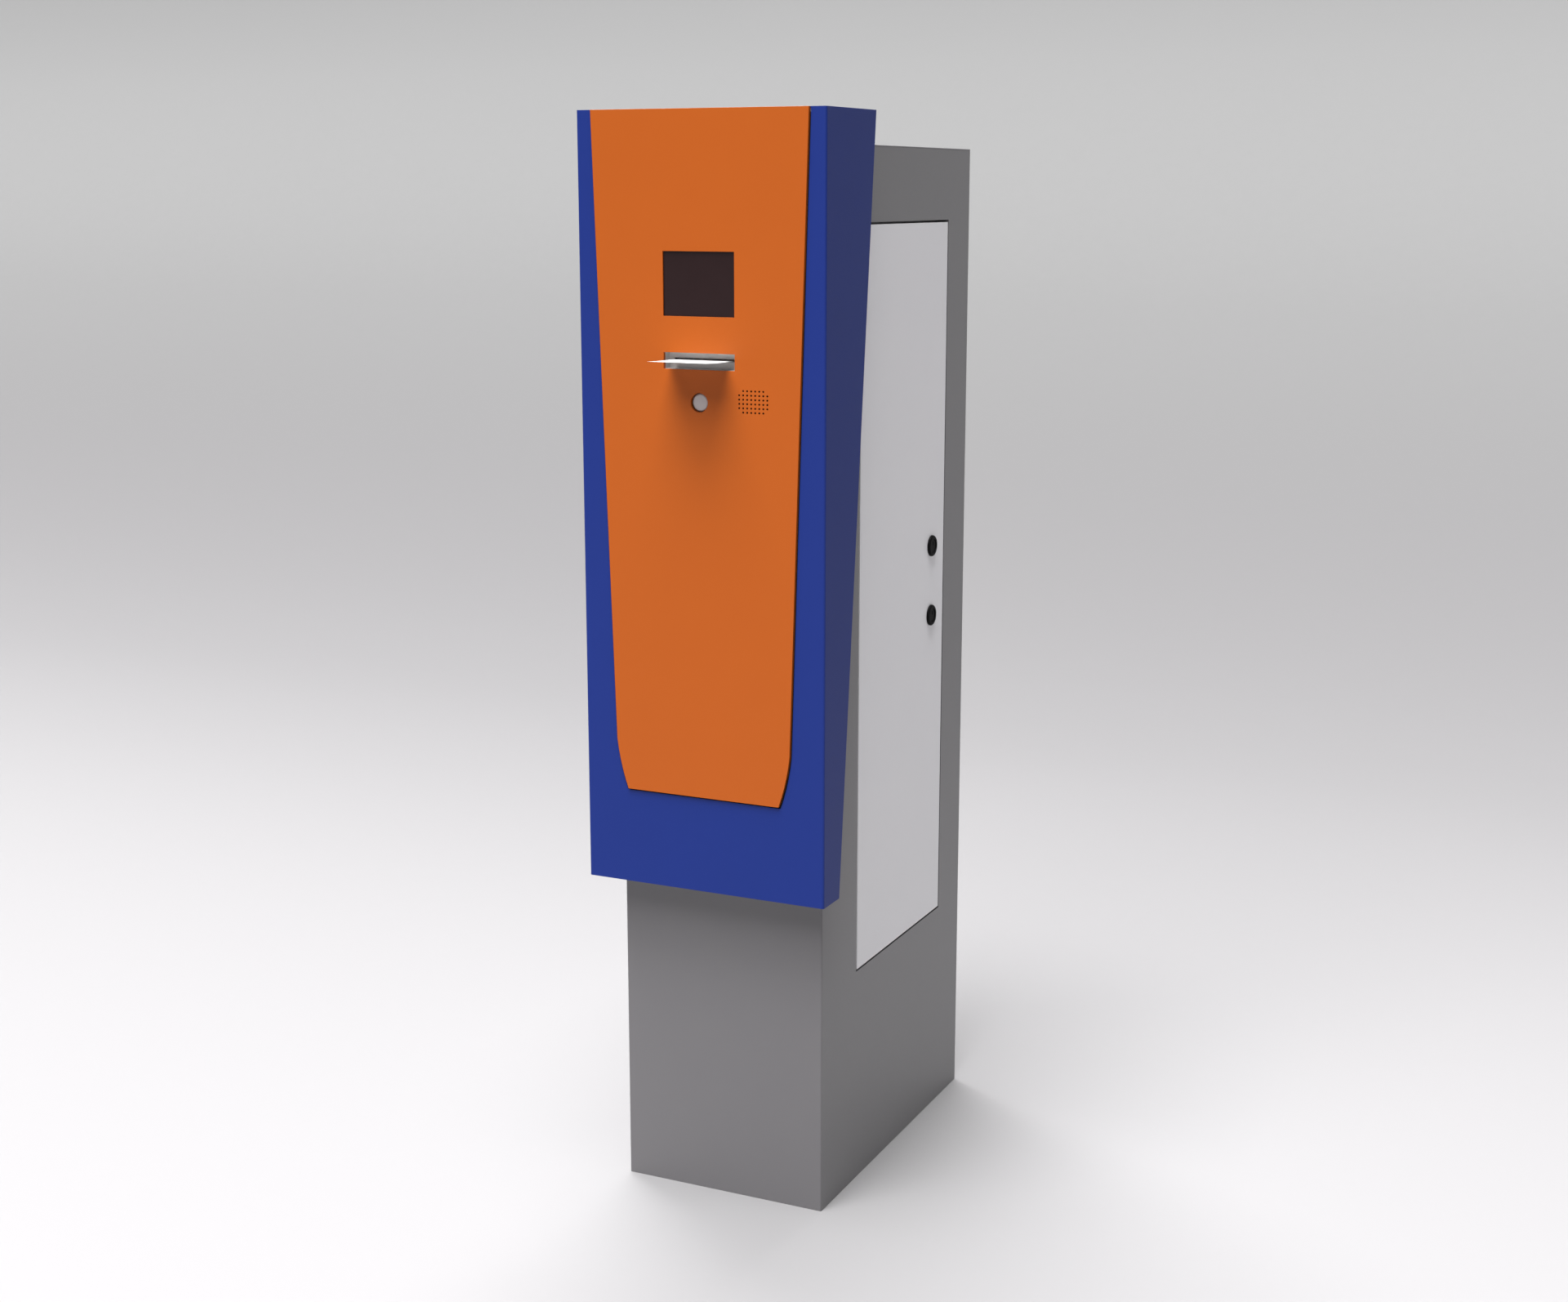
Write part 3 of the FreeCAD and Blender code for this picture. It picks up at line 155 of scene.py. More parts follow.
bpy.ops.object.select_all(action="DESELECT")
bpy.ops.mesh.primitive_plane_add(size=FLOOR_SIZE, location=(0, SWEEP_START - FLOOR_SIZE / 2, 0))
floor = bpy.context.object
floor.name = "floor"
bpy.ops.object.transform_apply(location=True)
bpy.ops.object.mode_set(mode="EDIT")
bpy.ops.mesh.select_all(action="DESELECT")
bpy.ops.object.mode_set(mode="OBJECT")
for edge in floor.data.edges:
    ends = [floor.data.vertices[index].co.y for index in edge.vertices]
    edge.select = min(ends) > SWEEP_START - 0.01
bpy.ops.object.mode_set(mode="EDIT")
bpy.ops.mesh.select_mode(type="EDGE")
reach = 2 * SWEEP_RADIUS * math.sin(math.pi / 4 / SWEEP_STEPS)
for step in range(SWEEP_STEPS):
    angle = math.pi / 2 * (step + 0.5) / SWEEP_STEPS
    bpy.ops.mesh.extrude_region_move(TRANSFORM_OT_translate={
        "value": (0, reach * math.cos(angle), reach * math.sin(angle))})
bpy.ops.mesh.extrude_region_move(TRANSFORM_OT_translate={"value": (0, 0, WALL_HEIGHT)})
bpy.ops.object.mode_set(mode="OBJECT")
bpy.ops.object.shade_smooth()
floor.data.materials.append(studio_paper())

for name, height, bearing, spread, power in SOURCES:
    lamp = bpy.data.objects.new(name, bpy.data.lights.new(name, "SUN"))
    bpy.context.scene.collection.objects.link(lamp)
    lamp.rotation_euler = (math.radians(90 - height), 0, math.radians(-bearing))
    lamp.data.angle = math.radians(spread)
    lamp.data.energy = power
# The surround lights the surfaces dimly, and shows as a pale wall where the paper ends.
world = bpy.data.worlds.new("surround")
world.use_nodes = True
dim = world.node_tree.nodes["Background"]
dim.inputs["Color"].default_value = linear_colour("#f4f5fa")
dim.inputs["Strength"].default_value = SURROUND_STRENGTH
wall = add_node(world, "ShaderNodeBackground", {"Color": linear_colour("#c8c8c9")})
seen = add_node(world, "ShaderNodeLightPath")
either = add_node(world, "ShaderNodeMixShader", {}, {
    0: seen.outputs["Is Camera Ray"], 1: dim.outputs[0], 2: wall.outputs[0]})
world.node_tree.links.new(either.outputs[0], world.node_tree.nodes["World Output"].inputs[0])
bpy.context.scene.world = world
bpy.context.scene.view_settings.view_transform = "Standard"


# Cabinet: 2 mm zinc-coated steel sheet, folded and welded, with a grey polyester powder coat.
# The coat is matt with a fine even texture.  Folded edges keep a small round under the paint.

def powder_coat(name, colour, shade, roughness, gloss, sheen):
    """Polyester powder coat: a faint mottle of film thickness and the orange-peel of its flow.

    The peel breaks up reflections softly.  Its bumps are really about 1 mm wide and are drawn
    1.6 mm so that they show.
    """
    material, shader = new_material(name)
    place = add_node(material, "ShaderNodeTexCoord")
    mottle = add_node(material, "ShaderNodeTexNoise", {"Scale": 1 / (60 * MM), "Detail": 4},
                      {"Vector": place.outputs["Object"]})
    peel = add_node(material, "ShaderNodeTexNoise",
                    {"Scale": 1 / (1.6 * MM), "Detail": 2, "Roughness": 0.55},
                    {"Vector": place.outputs["Object"]})
    relief = add_node(material, "ShaderNodeBump", {"Strength": 0.2, "Distance": 0.1 * MM},
                      {"Height": peel.outputs["Fac"]})
    polish = add_node(material, "ShaderNodeMapRange", {
        "To Min": roughness - 0.04, "To Max": roughness + 0.05}, {"Value": peel.outputs["Fac"]})
    tone = add_node(material, "ShaderNodeMix", {
        "data_type": "RGBA", 6: linear_colour(colour), 7: linear_colour(shade)},
        {0: mottle.outputs["Fac"]})
    finish_shader(material, shader, {
        "Base Color": tone.outputs[2],
        "Roughness": polish.outputs["Result"], "Normal": relief.outputs["Normal"]},
        Specular_IOR_Level=gloss, Sheen_Weight=sheen)
    return material


nodes = frame["nodes"]
SLOTS = {entry["node"]: entry["material_slot"] for entry in frame["record"]["subparts"]}
MERGE_DISTANCE = 0.005 * MM
FLAT_WITHIN = math.radians(0.5)
SHARP_FROM = math.radians(32)


def edit_copy(node_name):
    """A new object with a merged copy of a CAD node's mesh, selected and active."""
    piece = bpy.data.objects.new(node_name + "_finished", nodes[node_name].data.copy())
    bpy.context.scene.collection.objects.link(piece)
    bpy.ops.object.select_all(action="DESELECT")
    piece.select_set(True)
    bpy.context.view_layer.objects.active = piece
    bpy.ops.object.mode_set(mode="EDIT")
    bpy.ops.mesh.select_all(action="SELECT")
    bpy.ops.mesh.remove_doubles(threshold=MERGE_DISTANCE)
    bpy.ops.mesh.dissolve_limited(angle_limit=FLAT_WITHIN)
    bpy.ops.object.mode_set(mode="OBJECT")
    bpy.ops.object.shade_smooth()
    return piece


def round_edges(piece, edge_mm, segments=2):
    """Round the piece's sharp edges, and keep its flat faces flat in the light."""
    edges = piece.modifiers.new("edges", "BEVEL")
    edges.width = edge_mm * MM
    edges.segments = segments
    edges.limit_method = "ANGLE"
    edges.angle_limit = SHARP_FROM
    bpy.ops.object.modifier_apply(modifier=edges.name)
    normals = piece.modifiers.new("normals", "WEIGHTED_NORMAL")
    bpy.ops.object.modifier_apply(modifier=normals.name)


def hand_over(piece, material, body, slot, *replaced):
    """Dress a finished piece, join it to its body, and hide the nodes that it stands for."""
    piece.data.materials.clear()
    piece.data.materials.append(material)
    if replaced:
        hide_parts(*replaced)
    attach(piece, body)


def rounded(node_name, edge_mm, material, segments=2):
    """A copy of a CAD node with its sharp edges rounded, which stands for that node."""
    piece = edit_copy(node_name)
    round_edges(piece, edge_mm, segments)
    hand_over(piece, material, nodes[node_name]["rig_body"], SLOTS[node_name], node_name)
    return piece


def zone(piece, material, chosen):
    """Give the faces whose middle passes a test a material of their own."""
    piece.data.materials.append(material)
    for face in piece.data.polygons:
        if chosen(face.center):
            face.material_index = len(piece.data.materials) - 1


# Matt, with a strong reflection at low angles, so that the side picks up the pale floor.
cabinet_grey = powder_coat("powder_coat_cabinet_grey", "#585659", "#5a585a", 0.5, 1.0, 0.1)
for name in ("cabinet_shell", "top_cover", "back_panel", "door_frame"):
    rounded(name, 0.6, cabinet_grey)


# Foot, frames and brackets: folded from bright zinc-plated sheet, spot welded.  The plating is a
# thin bluish metal with soft cloudy spangles and faint rolling lines along the sheet.

def zinc_plate(name, line_scale):
    """Bright zinc: cloudy spangles about 14 mm wide, rolling lines drawn 0.8 mm apart to show."""
    material, shader = new_material(name)
    place = add_node(material, "ShaderNodeTexCoord")
    cloud = add_node(material, "ShaderNodeTexVoronoi", {
        "feature": "SMOOTH_F1", "Scale": 1 / (14 * MM), "Smoothness": 0.8},
        {"Vector": place.outputs["Object"]})
    stretch = add_node(material, "ShaderNodeMapping", {"Scale": line_scale},
                       {"Vector": place.outputs["Object"]})
    lines = add_node(material, "ShaderNodeTexNoise", {"Scale": 1 / (0.8 * MM), "Detail": 2},
                     {"Vector": stretch.outputs["Vector"]})
    relief = add_node(material, "ShaderNodeBump", {"Strength": 0.15, "Distance": 0.05 * MM},
                      {"Height": lines.outputs["Fac"]})
    polish = add_node(material, "ShaderNodeMapRange", {"To Min": 0.3, "To Max": 0.46},
                      {"Value": cloud.outputs["Distance"]})
    tone = add_node(material, "ShaderNodeMix", {
        "data_type": "RGBA", 6: linear_colour("#a9aeb4"), 7: linear_colour("#c3c5c4")},
        {0: cloud.outputs["Distance"]})
    finish_shader(material, shader, {
        "Base Color": tone.outputs[2],
        "Roughness": polish.outputs["Result"], "Normal": relief.outputs["Normal"]}, Metallic=1)
    return material


upright_zinc = zinc_plate("zinc_plate_upright", (1, 1, 0.04))
level_zinc = zinc_plate("zinc_plate_level", (0.04, 1, 1))
for name in ("base_tray", "gland_plate", "instrument_shelf", "hood_foot_bracket", "ticket_guides"):
    rounded(name, 0.3, level_zinc)
for name in ("fascia_frame", "hood_rails", "display_bracket", "printer_chassis", "roll_bracket",
             "motor_bracket", "mounting_plate"):
    rounded(name, 0.25, upright_zinc, segments=1)


# Fixings: nickel-plated steel, turned or cold headed.  The back cover is held by ten pan-head
# screws with a round drive, and the hood by hexagon bolts from inside the cabinet.

def turned_steel(name, colour, shade, roughness, line_mm):
    """Plated or ground steel: fine lines across X, at a spacing drawn wide enough to show."""
    material, shader = new_material(name)
    place = add_node(material, "ShaderNodeTexCoord")
    stretch = add_node(material, "ShaderNodeMapping", {"Scale": (1, 0.05, 0.05)},
                       {"Vector": place.outputs["Object"]})
    lines = add_node(material, "ShaderNodeTexNoise", {"Scale": 1 / (line_mm * MM), "Detail": 3},
                     {"Vector": stretch.outputs["Vector"]})
    polish = add_node(material, "ShaderNodeMapRange", {
        "To Min": roughness - 0.08, "To Max": roughness + 0.08}, {"Value": lines.outputs["Fac"]})
    relief = add_node(material, "ShaderNodeBump", {"Strength": 0.12, "Distance": 0.03 * MM},
                      {"Height": lines.outputs["Fac"]})
    tone = add_node(material, "ShaderNodeMix", {
        "data_type": "RGBA", 6: linear_colour(colour), 7: linear_colour(shade)},
        {0: lines.outputs["Fac"]})
    finish_shader(material, shader, {
        "Base Color": tone.outputs[2],
        "Roughness": polish.outputs["Result"], "Normal": relief.outputs["Normal"]}, Metallic=1)
    return material


# Nickel plate: warm, bright and fairly smooth.
nickel = turned_steel("nickel_plated_steel", "#a8a59f", "#bdbab4", 0.32, 0.5)
for name in ("hinge_pins", "hood_bolts", "lock_nuts", "lock_cam_upper", "lock_cam_lower"):
    rounded(name, 0.2, nickel, segments=1)
rounded("din_rail", 0.15, nickel, segments=1)

SCREW_RADIUS = 4.2 * MM
SCREW_HEAD = 2.4 * MM
SCREW_DRIVE = 1.3 * MM
SCREW_CROWN = 1.2 * MM
SCREW_ACROSS = 133 * MM
SCREW_LEVELS = (0.06, 0.37, 0.69, 1.01, 1.31)
COVER_THICKNESS = 2 * MM


def pick(piece, kind, chosen):
    """Select only the vertices or faces that pass a test, and stay in edit mode."""
    bpy.ops.object.mode_set(mode="EDIT")
    bpy.ops.mesh.select_mode(type=kind)
    bpy.ops.mesh.select_all(action="DESELECT")
    bpy.ops.object.mode_set(mode="OBJECT")
    for part in piece.data.vertices if kind == "VERT" else piece.data.polygons:
        part.select = chosen(part)
    bpy.ops.object.mode_set(mode="EDIT")


def pan_head_screw():
    """One pan-head screw on the back cover's face: a domed head with a round drive socket."""
    face_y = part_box("cabinet_shell")[1][1] + COVER_THICKNESS
    bpy.ops.object.select_all(action="DESELECT")
    bpy.ops.mesh.primitive_cylinder_add(
        vertices=28, radius=SCREW_RADIUS, depth=SCREW_HEAD,
        location=(0, face_y + SCREW_HEAD / 2, 0), rotation=(math.pi / 2, 0, 0))
    screw = bpy.context.object
    bpy.ops.object.transform_apply(location=True, rotation=True)

    def is_crown(face):
        """The flat round face on top of the head."""
        return face.center.y > face_y + SCREW_HEAD - 0.05 * MM

    pick(screw, "FACE", is_crown)
    bpy.ops.mesh.bevel(offset=SCREW_CROWN, segments=4, affect="EDGES")
    pick(screw, "FACE", is_crown)
    bpy.ops.mesh.inset(thickness=SCREW_CROWN)
    bpy.ops.mesh.extrude_region_move(TRANSFORM_OT_translate={"value": (0, -SCREW_DRIVE, 0)})
    bpy.ops.object.mode_set(mode="OBJECT")
    bpy.ops.object.shade_smooth_by_angle(angle=math.radians(30))
    return screw


def copy_at(piece, name, offset):
    """A copy of a piece with its own mesh, moved by an offset within its mesh."""
    double = piece.copy()
    double.data = piece.data.copy()
    double.name = name
    bpy.context.scene.collection.objects.link(double)
    bpy.ops.object.select_all(action="DESELECT")
    double.select_set(True)
    bpy.context.view_layer.objects.active = double
    double.location = offset
    bpy.ops.object.transform_apply(location=True)
    return double


pattern_screw = pan_head_screw()
for index in range(2 * len(SCREW_LEVELS)):
    across = -SCREW_ACROSS if index % 2 else SCREW_ACROSS
    screw = copy_at(pattern_screw, "back_screw_%d" % (index + 1),
                    (across, 0, SCREW_LEVELS[index // 2]))
    hand_over(screw, nickel, "cabinet", "lock_steel")
bpy.data.objects.remove(pattern_screw)


# Service door: a folded pan of the same sheet in light grey, with a rib welded inside.  It turns
# on two pins in sintered bronze bushes and closes on a foam seal.

def rubber(name, colour, shade, roughness, grain_mm):
    """Black rubber or foam: a grain of closed cells, with a dull bloom that follows it."""
    material, shader = new_material(name)
    place = add_node(material, "ShaderNodeTexCoord")
    cells = add_node(material, "ShaderNodeTexVoronoi", {"Scale": 1 / (grain_mm * MM)},
                     {"Vector": place.outputs["Object"]})
    relief = add_node(material, "ShaderNodeBump", {"Strength": 0.3, "Distance": 0.1 * MM},
                      {"Height": cells.outputs["Distance"]})
    polish = add_node(material, "ShaderNodeMapRange", {
        "To Min": roughness - 0.1, "To Max": roughness + 0.05},
        {"Value": cells.outputs["Distance"]})
    tone = add_node(material, "ShaderNodeMix", {
        "data_type": "RGBA", 6: linear_colour(colour), 7: linear_colour(shade)},
        {0: cells.outputs["Distance"]})
    finish_shader(material, shader, {
        "Base Color": tone.outputs[2],
        "Roughness": polish.outputs["Result"], "Normal": relief.outputs["Normal"]},
        Specular_IOR_Level=0.3)
    return material


def sintered_bronze():
    """Oil-filled sintered bronze: warm metal with open pores about 0.4 mm wide."""
    material, shader = new_material("sintered_bronze")
    place = add_node(material, "ShaderNodeTexCoord")
    pores = add_node(material, "ShaderNodeTexVoronoi", {"Scale": 1 / (0.4 * MM)},
                     {"Vector": place.outputs["Object"]})
    polish = add_node(material, "ShaderNodeMapRange", {"To Min": 0.35, "To Max": 0.6},
                      {"Value": pores.outputs["Distance"]})
    tone = add_node(material, "ShaderNodeMix", {
        "data_type": "RGBA", 6: linear_colour("#8a6534"), 7: linear_colour("#b98d54")},
        {0: pores.outputs["Distance"]})
    finish_shader(material, shader, {
        "Base Color": tone.outputs[2], "Roughness": polish.outputs["Result"]}, Metallic=1)
    return material


# The same coat in light grey, with a weaker reflection.
door_grey = powder_coat("powder_coat_light_grey", "#dad9dc", "#dcdbdd", 0.5, 0.4, 0)
for name in ("side_door", "door_stiffener"):
    rounded(name, 0.5, door_grey)
# Closed-cell foam: black and quite dull, with cells 0.7 mm wide.
foam = rubber("closed_cell_foam", "#0b0b0c", "#161617", 0.9, 0.7)
for name in ("door_seal", "fascia_gasket", "speaker_gasket"):
    rounded(name, 0.3, foam, segments=1)
rounded("hinge_bushes", 0.15, sintered_bronze(), segments=1)


# Quarter-turn locks: zinc die castings with a black coat, a flat key barrel set in a raised rim
# with a small key slot, and a steel cam behind the door.

def black_casting(name, colour, shade, roughness):
    """Black-coated zinc casting: a fine sandy skin, its 0.3 mm grains drawn 0.6 mm to show."""
    material, shader = new_material(name)
    place = add_node(material, "ShaderNodeTexCoord")
    grain = add_node(material, "ShaderNodeTexNoise", {"Scale": 1 / (0.6 * MM), "Detail": 2},
                     {"Vector": place.outputs["Object"]})
    relief = add_node(material, "ShaderNodeBump", {"Strength": 0.2, "Distance": 0.05 * MM},
                      {"Height": grain.outputs["Fac"]})
    polish = add_node(material, "ShaderNodeMapRange", {
        "To Min": roughness - 0.06, "To Max": roughness + 0.06}, {"Value": grain.outputs["Fac"]})
    tone = add_node(material, "ShaderNodeMix", {
        "data_type": "RGBA", 6: linear_colour(colour), 7: linear_colour(shade)},
        {0: grain.outputs["Fac"]})
    finish_shader(material, shader, {
        "Base Color": tone.outputs[2],
        "Roughness": polish.outputs["Result"], "Normal": relief.outputs["Normal"]},
        Specular_IOR_Level=0.1)
    return material


# The rim is a little darker than the barrel.
lock_rim = black_casting("black_lock_rim", "#060506", "#080708", 0.6)
lock_face = black_casting("black_lock_barrel", "#0b0a0c", "#0e0d0f", 0.6)
for level in ("upper", "lower"):
    rounded("lock_housing_" + level, 0.3, lock_rim)
    rounded("lock_barrel_" + level, 0.15, lock_face)


# Weather hood: one sheet folded into a tapering tray and powder coated in satin blue.  It hangs
# on two rails, which are bolted to the cabinet's front from inside.

# A satin coat: an even colour with a weak reflection.
hood_blue = powder_coat("powder_coat_traffic_blue", "#0b246b", "#0c256e", 0.5, 0.25, 0)
rounded("hood_shell", 0.5, hood_blue)


# Customer panel: 5 mm aluminium plate, routed to shape with the openings for screen, outlet,
# button and loudspeaker, and powder coated in satin orange.  The walls and rims of the sound
# holes are painted black as painted shade, so that they read as dark.
GRILLE_ACROSS = (30 * MM, 120 * MM)
GRILLE_UP = (1020 * MM, 1110 * MM)
FACE_MARGIN = 0.02 * MM

fascia_low, fascia_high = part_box("fascia_panel")


def in_grille_hole(middle):
    """Inside one of the sound holes: in the grille's field and clear of both faces."""
    return (GRILLE_ACROSS[0] < middle.x < GRILLE_ACROSS[1] and
            GRILLE_UP[0] < middle.z < GRILLE_UP[1] and
            fascia_low[1] + FACE_MARGIN < middle.y < fascia_high[1] - FACE_MARGIN)


# A satin coat, a touch smoother than the hood's.
fascia_orange = powder_coat("powder_coat_signal_orange", "#a14b0b", "#a34d0c", 0.45, 0.25, 0)
fascia = rounded("fascia_panel", 0.35, fascia_orange, segments=1)
# Painted shade: the holes' walls get a dull black so that the holes read as dark dots.
hole_painted_shade = black_casting("painted_shade_hole_walls", "#0c0705", "#120a07", 0.8)
zone(fascia, hole_painted_shade, in_grille_hole)


# Screen: a smoked acrylic window in the panel's rebate, with a black moulded display module
# held behind it by a bracket.  Unlit, it is an even brown-black.

def smoked_acrylic():
    """Smoked acrylic over a dark display: even brown-black, with wiping haze 25 mm wide."""
    material, shader = new_material("smoked_acrylic")
    place = add_node(material, "ShaderNodeTexCoord")
    haze = add_node(material, "ShaderNodeTexNoise", {"Scale": 1 / (25 * MM), "Detail": 0},
                    {"Vector": place.outputs["Object"]})
    polish = add_node(material, "ShaderNodeMapRange", {"To Min": 0.3, "To Max": 0.33},
                      {"Value": haze.outputs["Fac"]})
    tone = add_node(material, "ShaderNodeMix", {
        "data_type": "RGBA", 6: linear_colour("#1f1112"), 7: linear_colour("#211314")},
        {0: haze.outputs["Fac"]})
    finish_shader(material, shader, {
        "Base Color": tone.outputs[2], "Roughness": polish.outputs["Result"]},
        Specular_IOR_Level=0.2)
    return material


def moulded(name, colour, shade, roughness, grain_mm):
    """Injection moulded plastic with a spark-eroded texture, drawn at a size that shows."""
    material, shader = new_material(name)
    place = add_node(material, "ShaderNodeTexCoord")
    grain = add_node(material, "ShaderNodeTexNoise", {"Scale": 1 / (grain_mm * MM), "Detail": 3},
                     {"Vector": place.outputs["Object"]})
    flow = add_node(material, "ShaderNodeTexNoise", {"Scale": 1 / (22 * MM), "Detail": 2},
                    {"Vector": place.outputs["Object"]})
    relief = add_node(material, "ShaderNodeBump", {"Strength": 0.2, "Distance": 0.04 * MM},
                      {"Height": grain.outputs["Fac"]})
    polish = add_node(material, "ShaderNodeMapRange", {
        "To Min": roughness - 0.05, "To Max": roughness + 0.07}, {"Value": grain.outputs["Fac"]})
    tone = add_node(material, "ShaderNodeMix", {
        "data_type": "RGBA", 6: linear_colour(colour), 7: linear_colour(shade)},
        {0: flow.outputs["Fac"]})
    finish_shader(material, shader, {
        "Base Color": tone.outputs[2],
        "Roughness": polish.outputs["Result"], "Normal": relief.outputs["Normal"]},
        Specular_IOR_Level=0.4)
    return material


rounded("display_window", 0.2, smoked_acrylic(), segments=1)
# Black nylon: nearly matt, with a fine spark-eroded grain.
black_nylon = moulded("black_nylon", "#101011", "#151516", 0.45, 0.6)
rounded("display_module", 0.4, black_nylon)


# Outlet: a light grey painted recess plate with a slit.  The ticket that hangs out of it is
# thermal paper with the toothed edge that the cutter leaves, and curls up a little from its roll.

TEETH = 56
TICKET_ROWS = 24
TOOTH_DEPTH = 0.7 * MM
CURL_STEPS = 11
CURL_ANGLE = 3.4
PAPER_THICKNESS = 0.14 * MM


def thermal_paper():
    """Coated thermal paper: a smooth white face over faint 3 mm clouds of fibre."""
    material, shader = new_material("thermal_paper")
    place = add_node(material, "ShaderNodeTexCoord")
    fibre = add_node(material, "ShaderNodeTexNoise", {"Scale": 1 / (3 * MM), "Detail": 4},
                     {"Vector": place.outputs["Object"]})
    polish = add_node(material, "ShaderNodeMapRange", {"To Min": 0.55, "To Max": 0.68},
                      {"Value": fibre.outputs["Fac"]})
    tone = add_node(material, "ShaderNodeMix", {
        "data_type": "RGBA", 6: linear_colour("#d2d6d7"), 7: linear_colour("#d8dcdd")},
        {0: fibre.outputs["Fac"]})
    finish_shader(material, shader, {
        "Base Color": tone.outputs[2], "Roughness": polish.outputs["Result"]},
        Specular_IOR_Level=0.3)
    return material


def curled_ticket():
    """The ticket: a sheet with a toothed front edge, curled up over its last part."""
    low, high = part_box("ticket")
    level = (low[2] + high[2]) / 2
    width, length = high[0] - low[0], high[1] - low[1]
    bpy.ops.object.select_all(action="DESELECT")
    bpy.ops.mesh.primitive_grid_add(x_subdivisions=TEETH * 2, y_subdivisions=TICKET_ROWS, size=1,
                                    location=(0, (low[1] + high[1]) / 2, level))
    sheet = bpy.context.object
    sheet.name = "ticket_sheet"
    sheet.scale = (width, length, 1)
    bpy.ops.object.transform_apply(location=True, scale=True)
    pitch = width / (TEETH * 2)
    pick(sheet, "VERT", lambda vertex: vertex.co.y < low[1] + 0.1 * MM and
         round((vertex.co.x - low[0]) / pitch) % 2 == 0)
    bpy.ops.transform.translate(value=(0, TOOTH_DEPTH, 0))
    row = length / TICKET_ROWS
    for step in range(CURL_STEPS):
        hinge_y = low[1] + (CURL_STEPS - step) * row
        pick(sheet, "VERT", lambda vertex: vertex.co.y < hinge_y - 0.3 * row)
        bpy.ops.transform.rotate(value=math.radians(CURL_ANGLE / CURL_STEPS), orient_axis="X",
                                 center_override=(0, hinge_y, level))
    bpy.ops.object.mode_set(mode="OBJECT")
    thickness = sheet.modifiers.new("thickness", "SOLIDIFY")
    thickness.thickness = PAPER_THICKNESS
    thickness.offset = 0
    bpy.ops.object.modifier_apply(modifier=thickness.name)
    bpy.ops.object.shade_smooth_by_angle(angle=math.radians(30))
    return sheet


# A light grey coat, which keeps the recess bright in the panel's shade.
outlet_paint = powder_coat("painted_light_grey_plate", "#bebcba", "#c1bfbd", 0.5, 0.4, 0)
rounded("ticket_outlet", 0.25, outlet_paint, segments=1)
paper = thermal_paper()
hand_over(curled_ticket(), paper, "ticket", "thermal_paper", "ticket")
rounded("paper_web", 0.04, paper, segments=1)


# Push-button: turned aluminium with a satin face, sprung in a black nylon housing behind the
# panel, with its switch at the back.  The print head is moulded in the same nylon.
BUTTON_RINGS = 1.0 * MM


def satin_button():
    """Turned aluminium: soft rings round the button's own axis, cut 0.2 mm apart, drawn 1 mm."""
    material, shader = new_material("satin_turned_aluminium")
    low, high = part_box("push_button")
    middle = (0, 0, -(low[2] + high[2]) / 2)
    place = add_node(material, "ShaderNodeTexCoord")
    centred = add_node(material, "ShaderNodeMapping", {"Location": middle},
                       {"Vector": place.outputs["Object"]})
    rings = add_node(material, "ShaderNodeTexWave", {
        "wave_type": "RINGS", "rings_direction": "Y", "Scale": 1 / (math.pi * BUTTON_RINGS),
        "Distortion": 1.0, "Detail": 2}, {"Vector": centred.outputs["Vector"]})
    relief = add_node(material, "ShaderNodeBump", {"Strength": 0.1, "Distance": 0.03 * MM},
                      {"Height": rings.outputs["Fac"]})
    polish = add_node(material, "ShaderNodeMapRange", {"To Min": 0.42, "To Max": 0.55},
                      {"Value": rings.outputs["Fac"]})
    tone = add_node(material, "ShaderNodeMix", {
        "data_type": "RGBA", 6: linear_colour("#afa7a6"), 7: linear_colour("#b5adac")},
        {0: rings.outputs["Fac"]})
    finish_shader(material, shader, {
        "Base Color": tone.outputs[2],
        "Roughness": polish.outputs["Result"], "Normal": relief.outputs["Normal"]}, Metallic=0.35)
    return material


rounded("push_button", 0.25, satin_button())
for name in ("button_housing", "button_switch", "print_head"):
    rounded(name, 0.4, black_nylon)


# Loudspeaker: a black moulded basket with a ferrite magnet at its back, on a square foam pad
# behind the panel's sound holes.
MAGNET_FROM = 9 * MM

speaker = rounded("speaker", 0.3, black_nylon)
# Ferrite: a dull dark grey ceramic.
ferrite = moulded("ferrite_magnet", "#2a2a2c", "#313133", 0.6, 0.5)
magnet_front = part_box("speaker")[0][1] + MAGNET_FROM
zone(speaker, ferrite, lambda middle: middle.y > magnet_front)


# Ticket printer: rubber-covered rollers on ground shafts, moulded acetal gears, a stepper motor
# and a hardened cutter, between two folded cheeks.
RUBBER_HALF_LENGTH = 43.05 * MM
MOTOR_LEFT_CAP = 8 * MM
MOTOR_RIGHT_CAP = 10 * MM

# Ground steel: cool and bright.  Nitrile rubber: black-grey and dull.  Natural acetal: off-white
# with a slight sheen.  Tool steel: darker, with coarser grinding lines.
ground_steel = turned_steel("ground_steel_shaft", "#9fa1a3", "#b5b7b8", 0.25, 0.4)
roller_rubber = rubber("nitrile_rubber", "#1b1b1c", "#262627", 0.7, 0.9)
acetal = moulded("natural_acetal", "#d9d6cb", "#dfdcd2", 0.4, 0.8)
tool_steel = turned_steel("tool_steel_blade", "#8e9194", "#a4a7aa", 0.3, 0.6)
for name in ("platen_roller", "feed_roller", "pinch_roller"):
    roller = rounded(name, 0.2, roller_rubber)
    zone(roller, ground_steel, lambda middle: abs(middle.x) > RUBBER_HALF_LENGTH)
for name in ("platen_gear", "feed_gear", "idler_gear", "motor_pinion"):
    rounded(name, 0.06, acetal, segments=1)
rounded("ticket_cutter", 0.3, tool_steel, segments=1)
rounded("roll_spindle", 0.4, ground_steel)
motor = rounded("stepper_motor", 0.6, black_nylon)
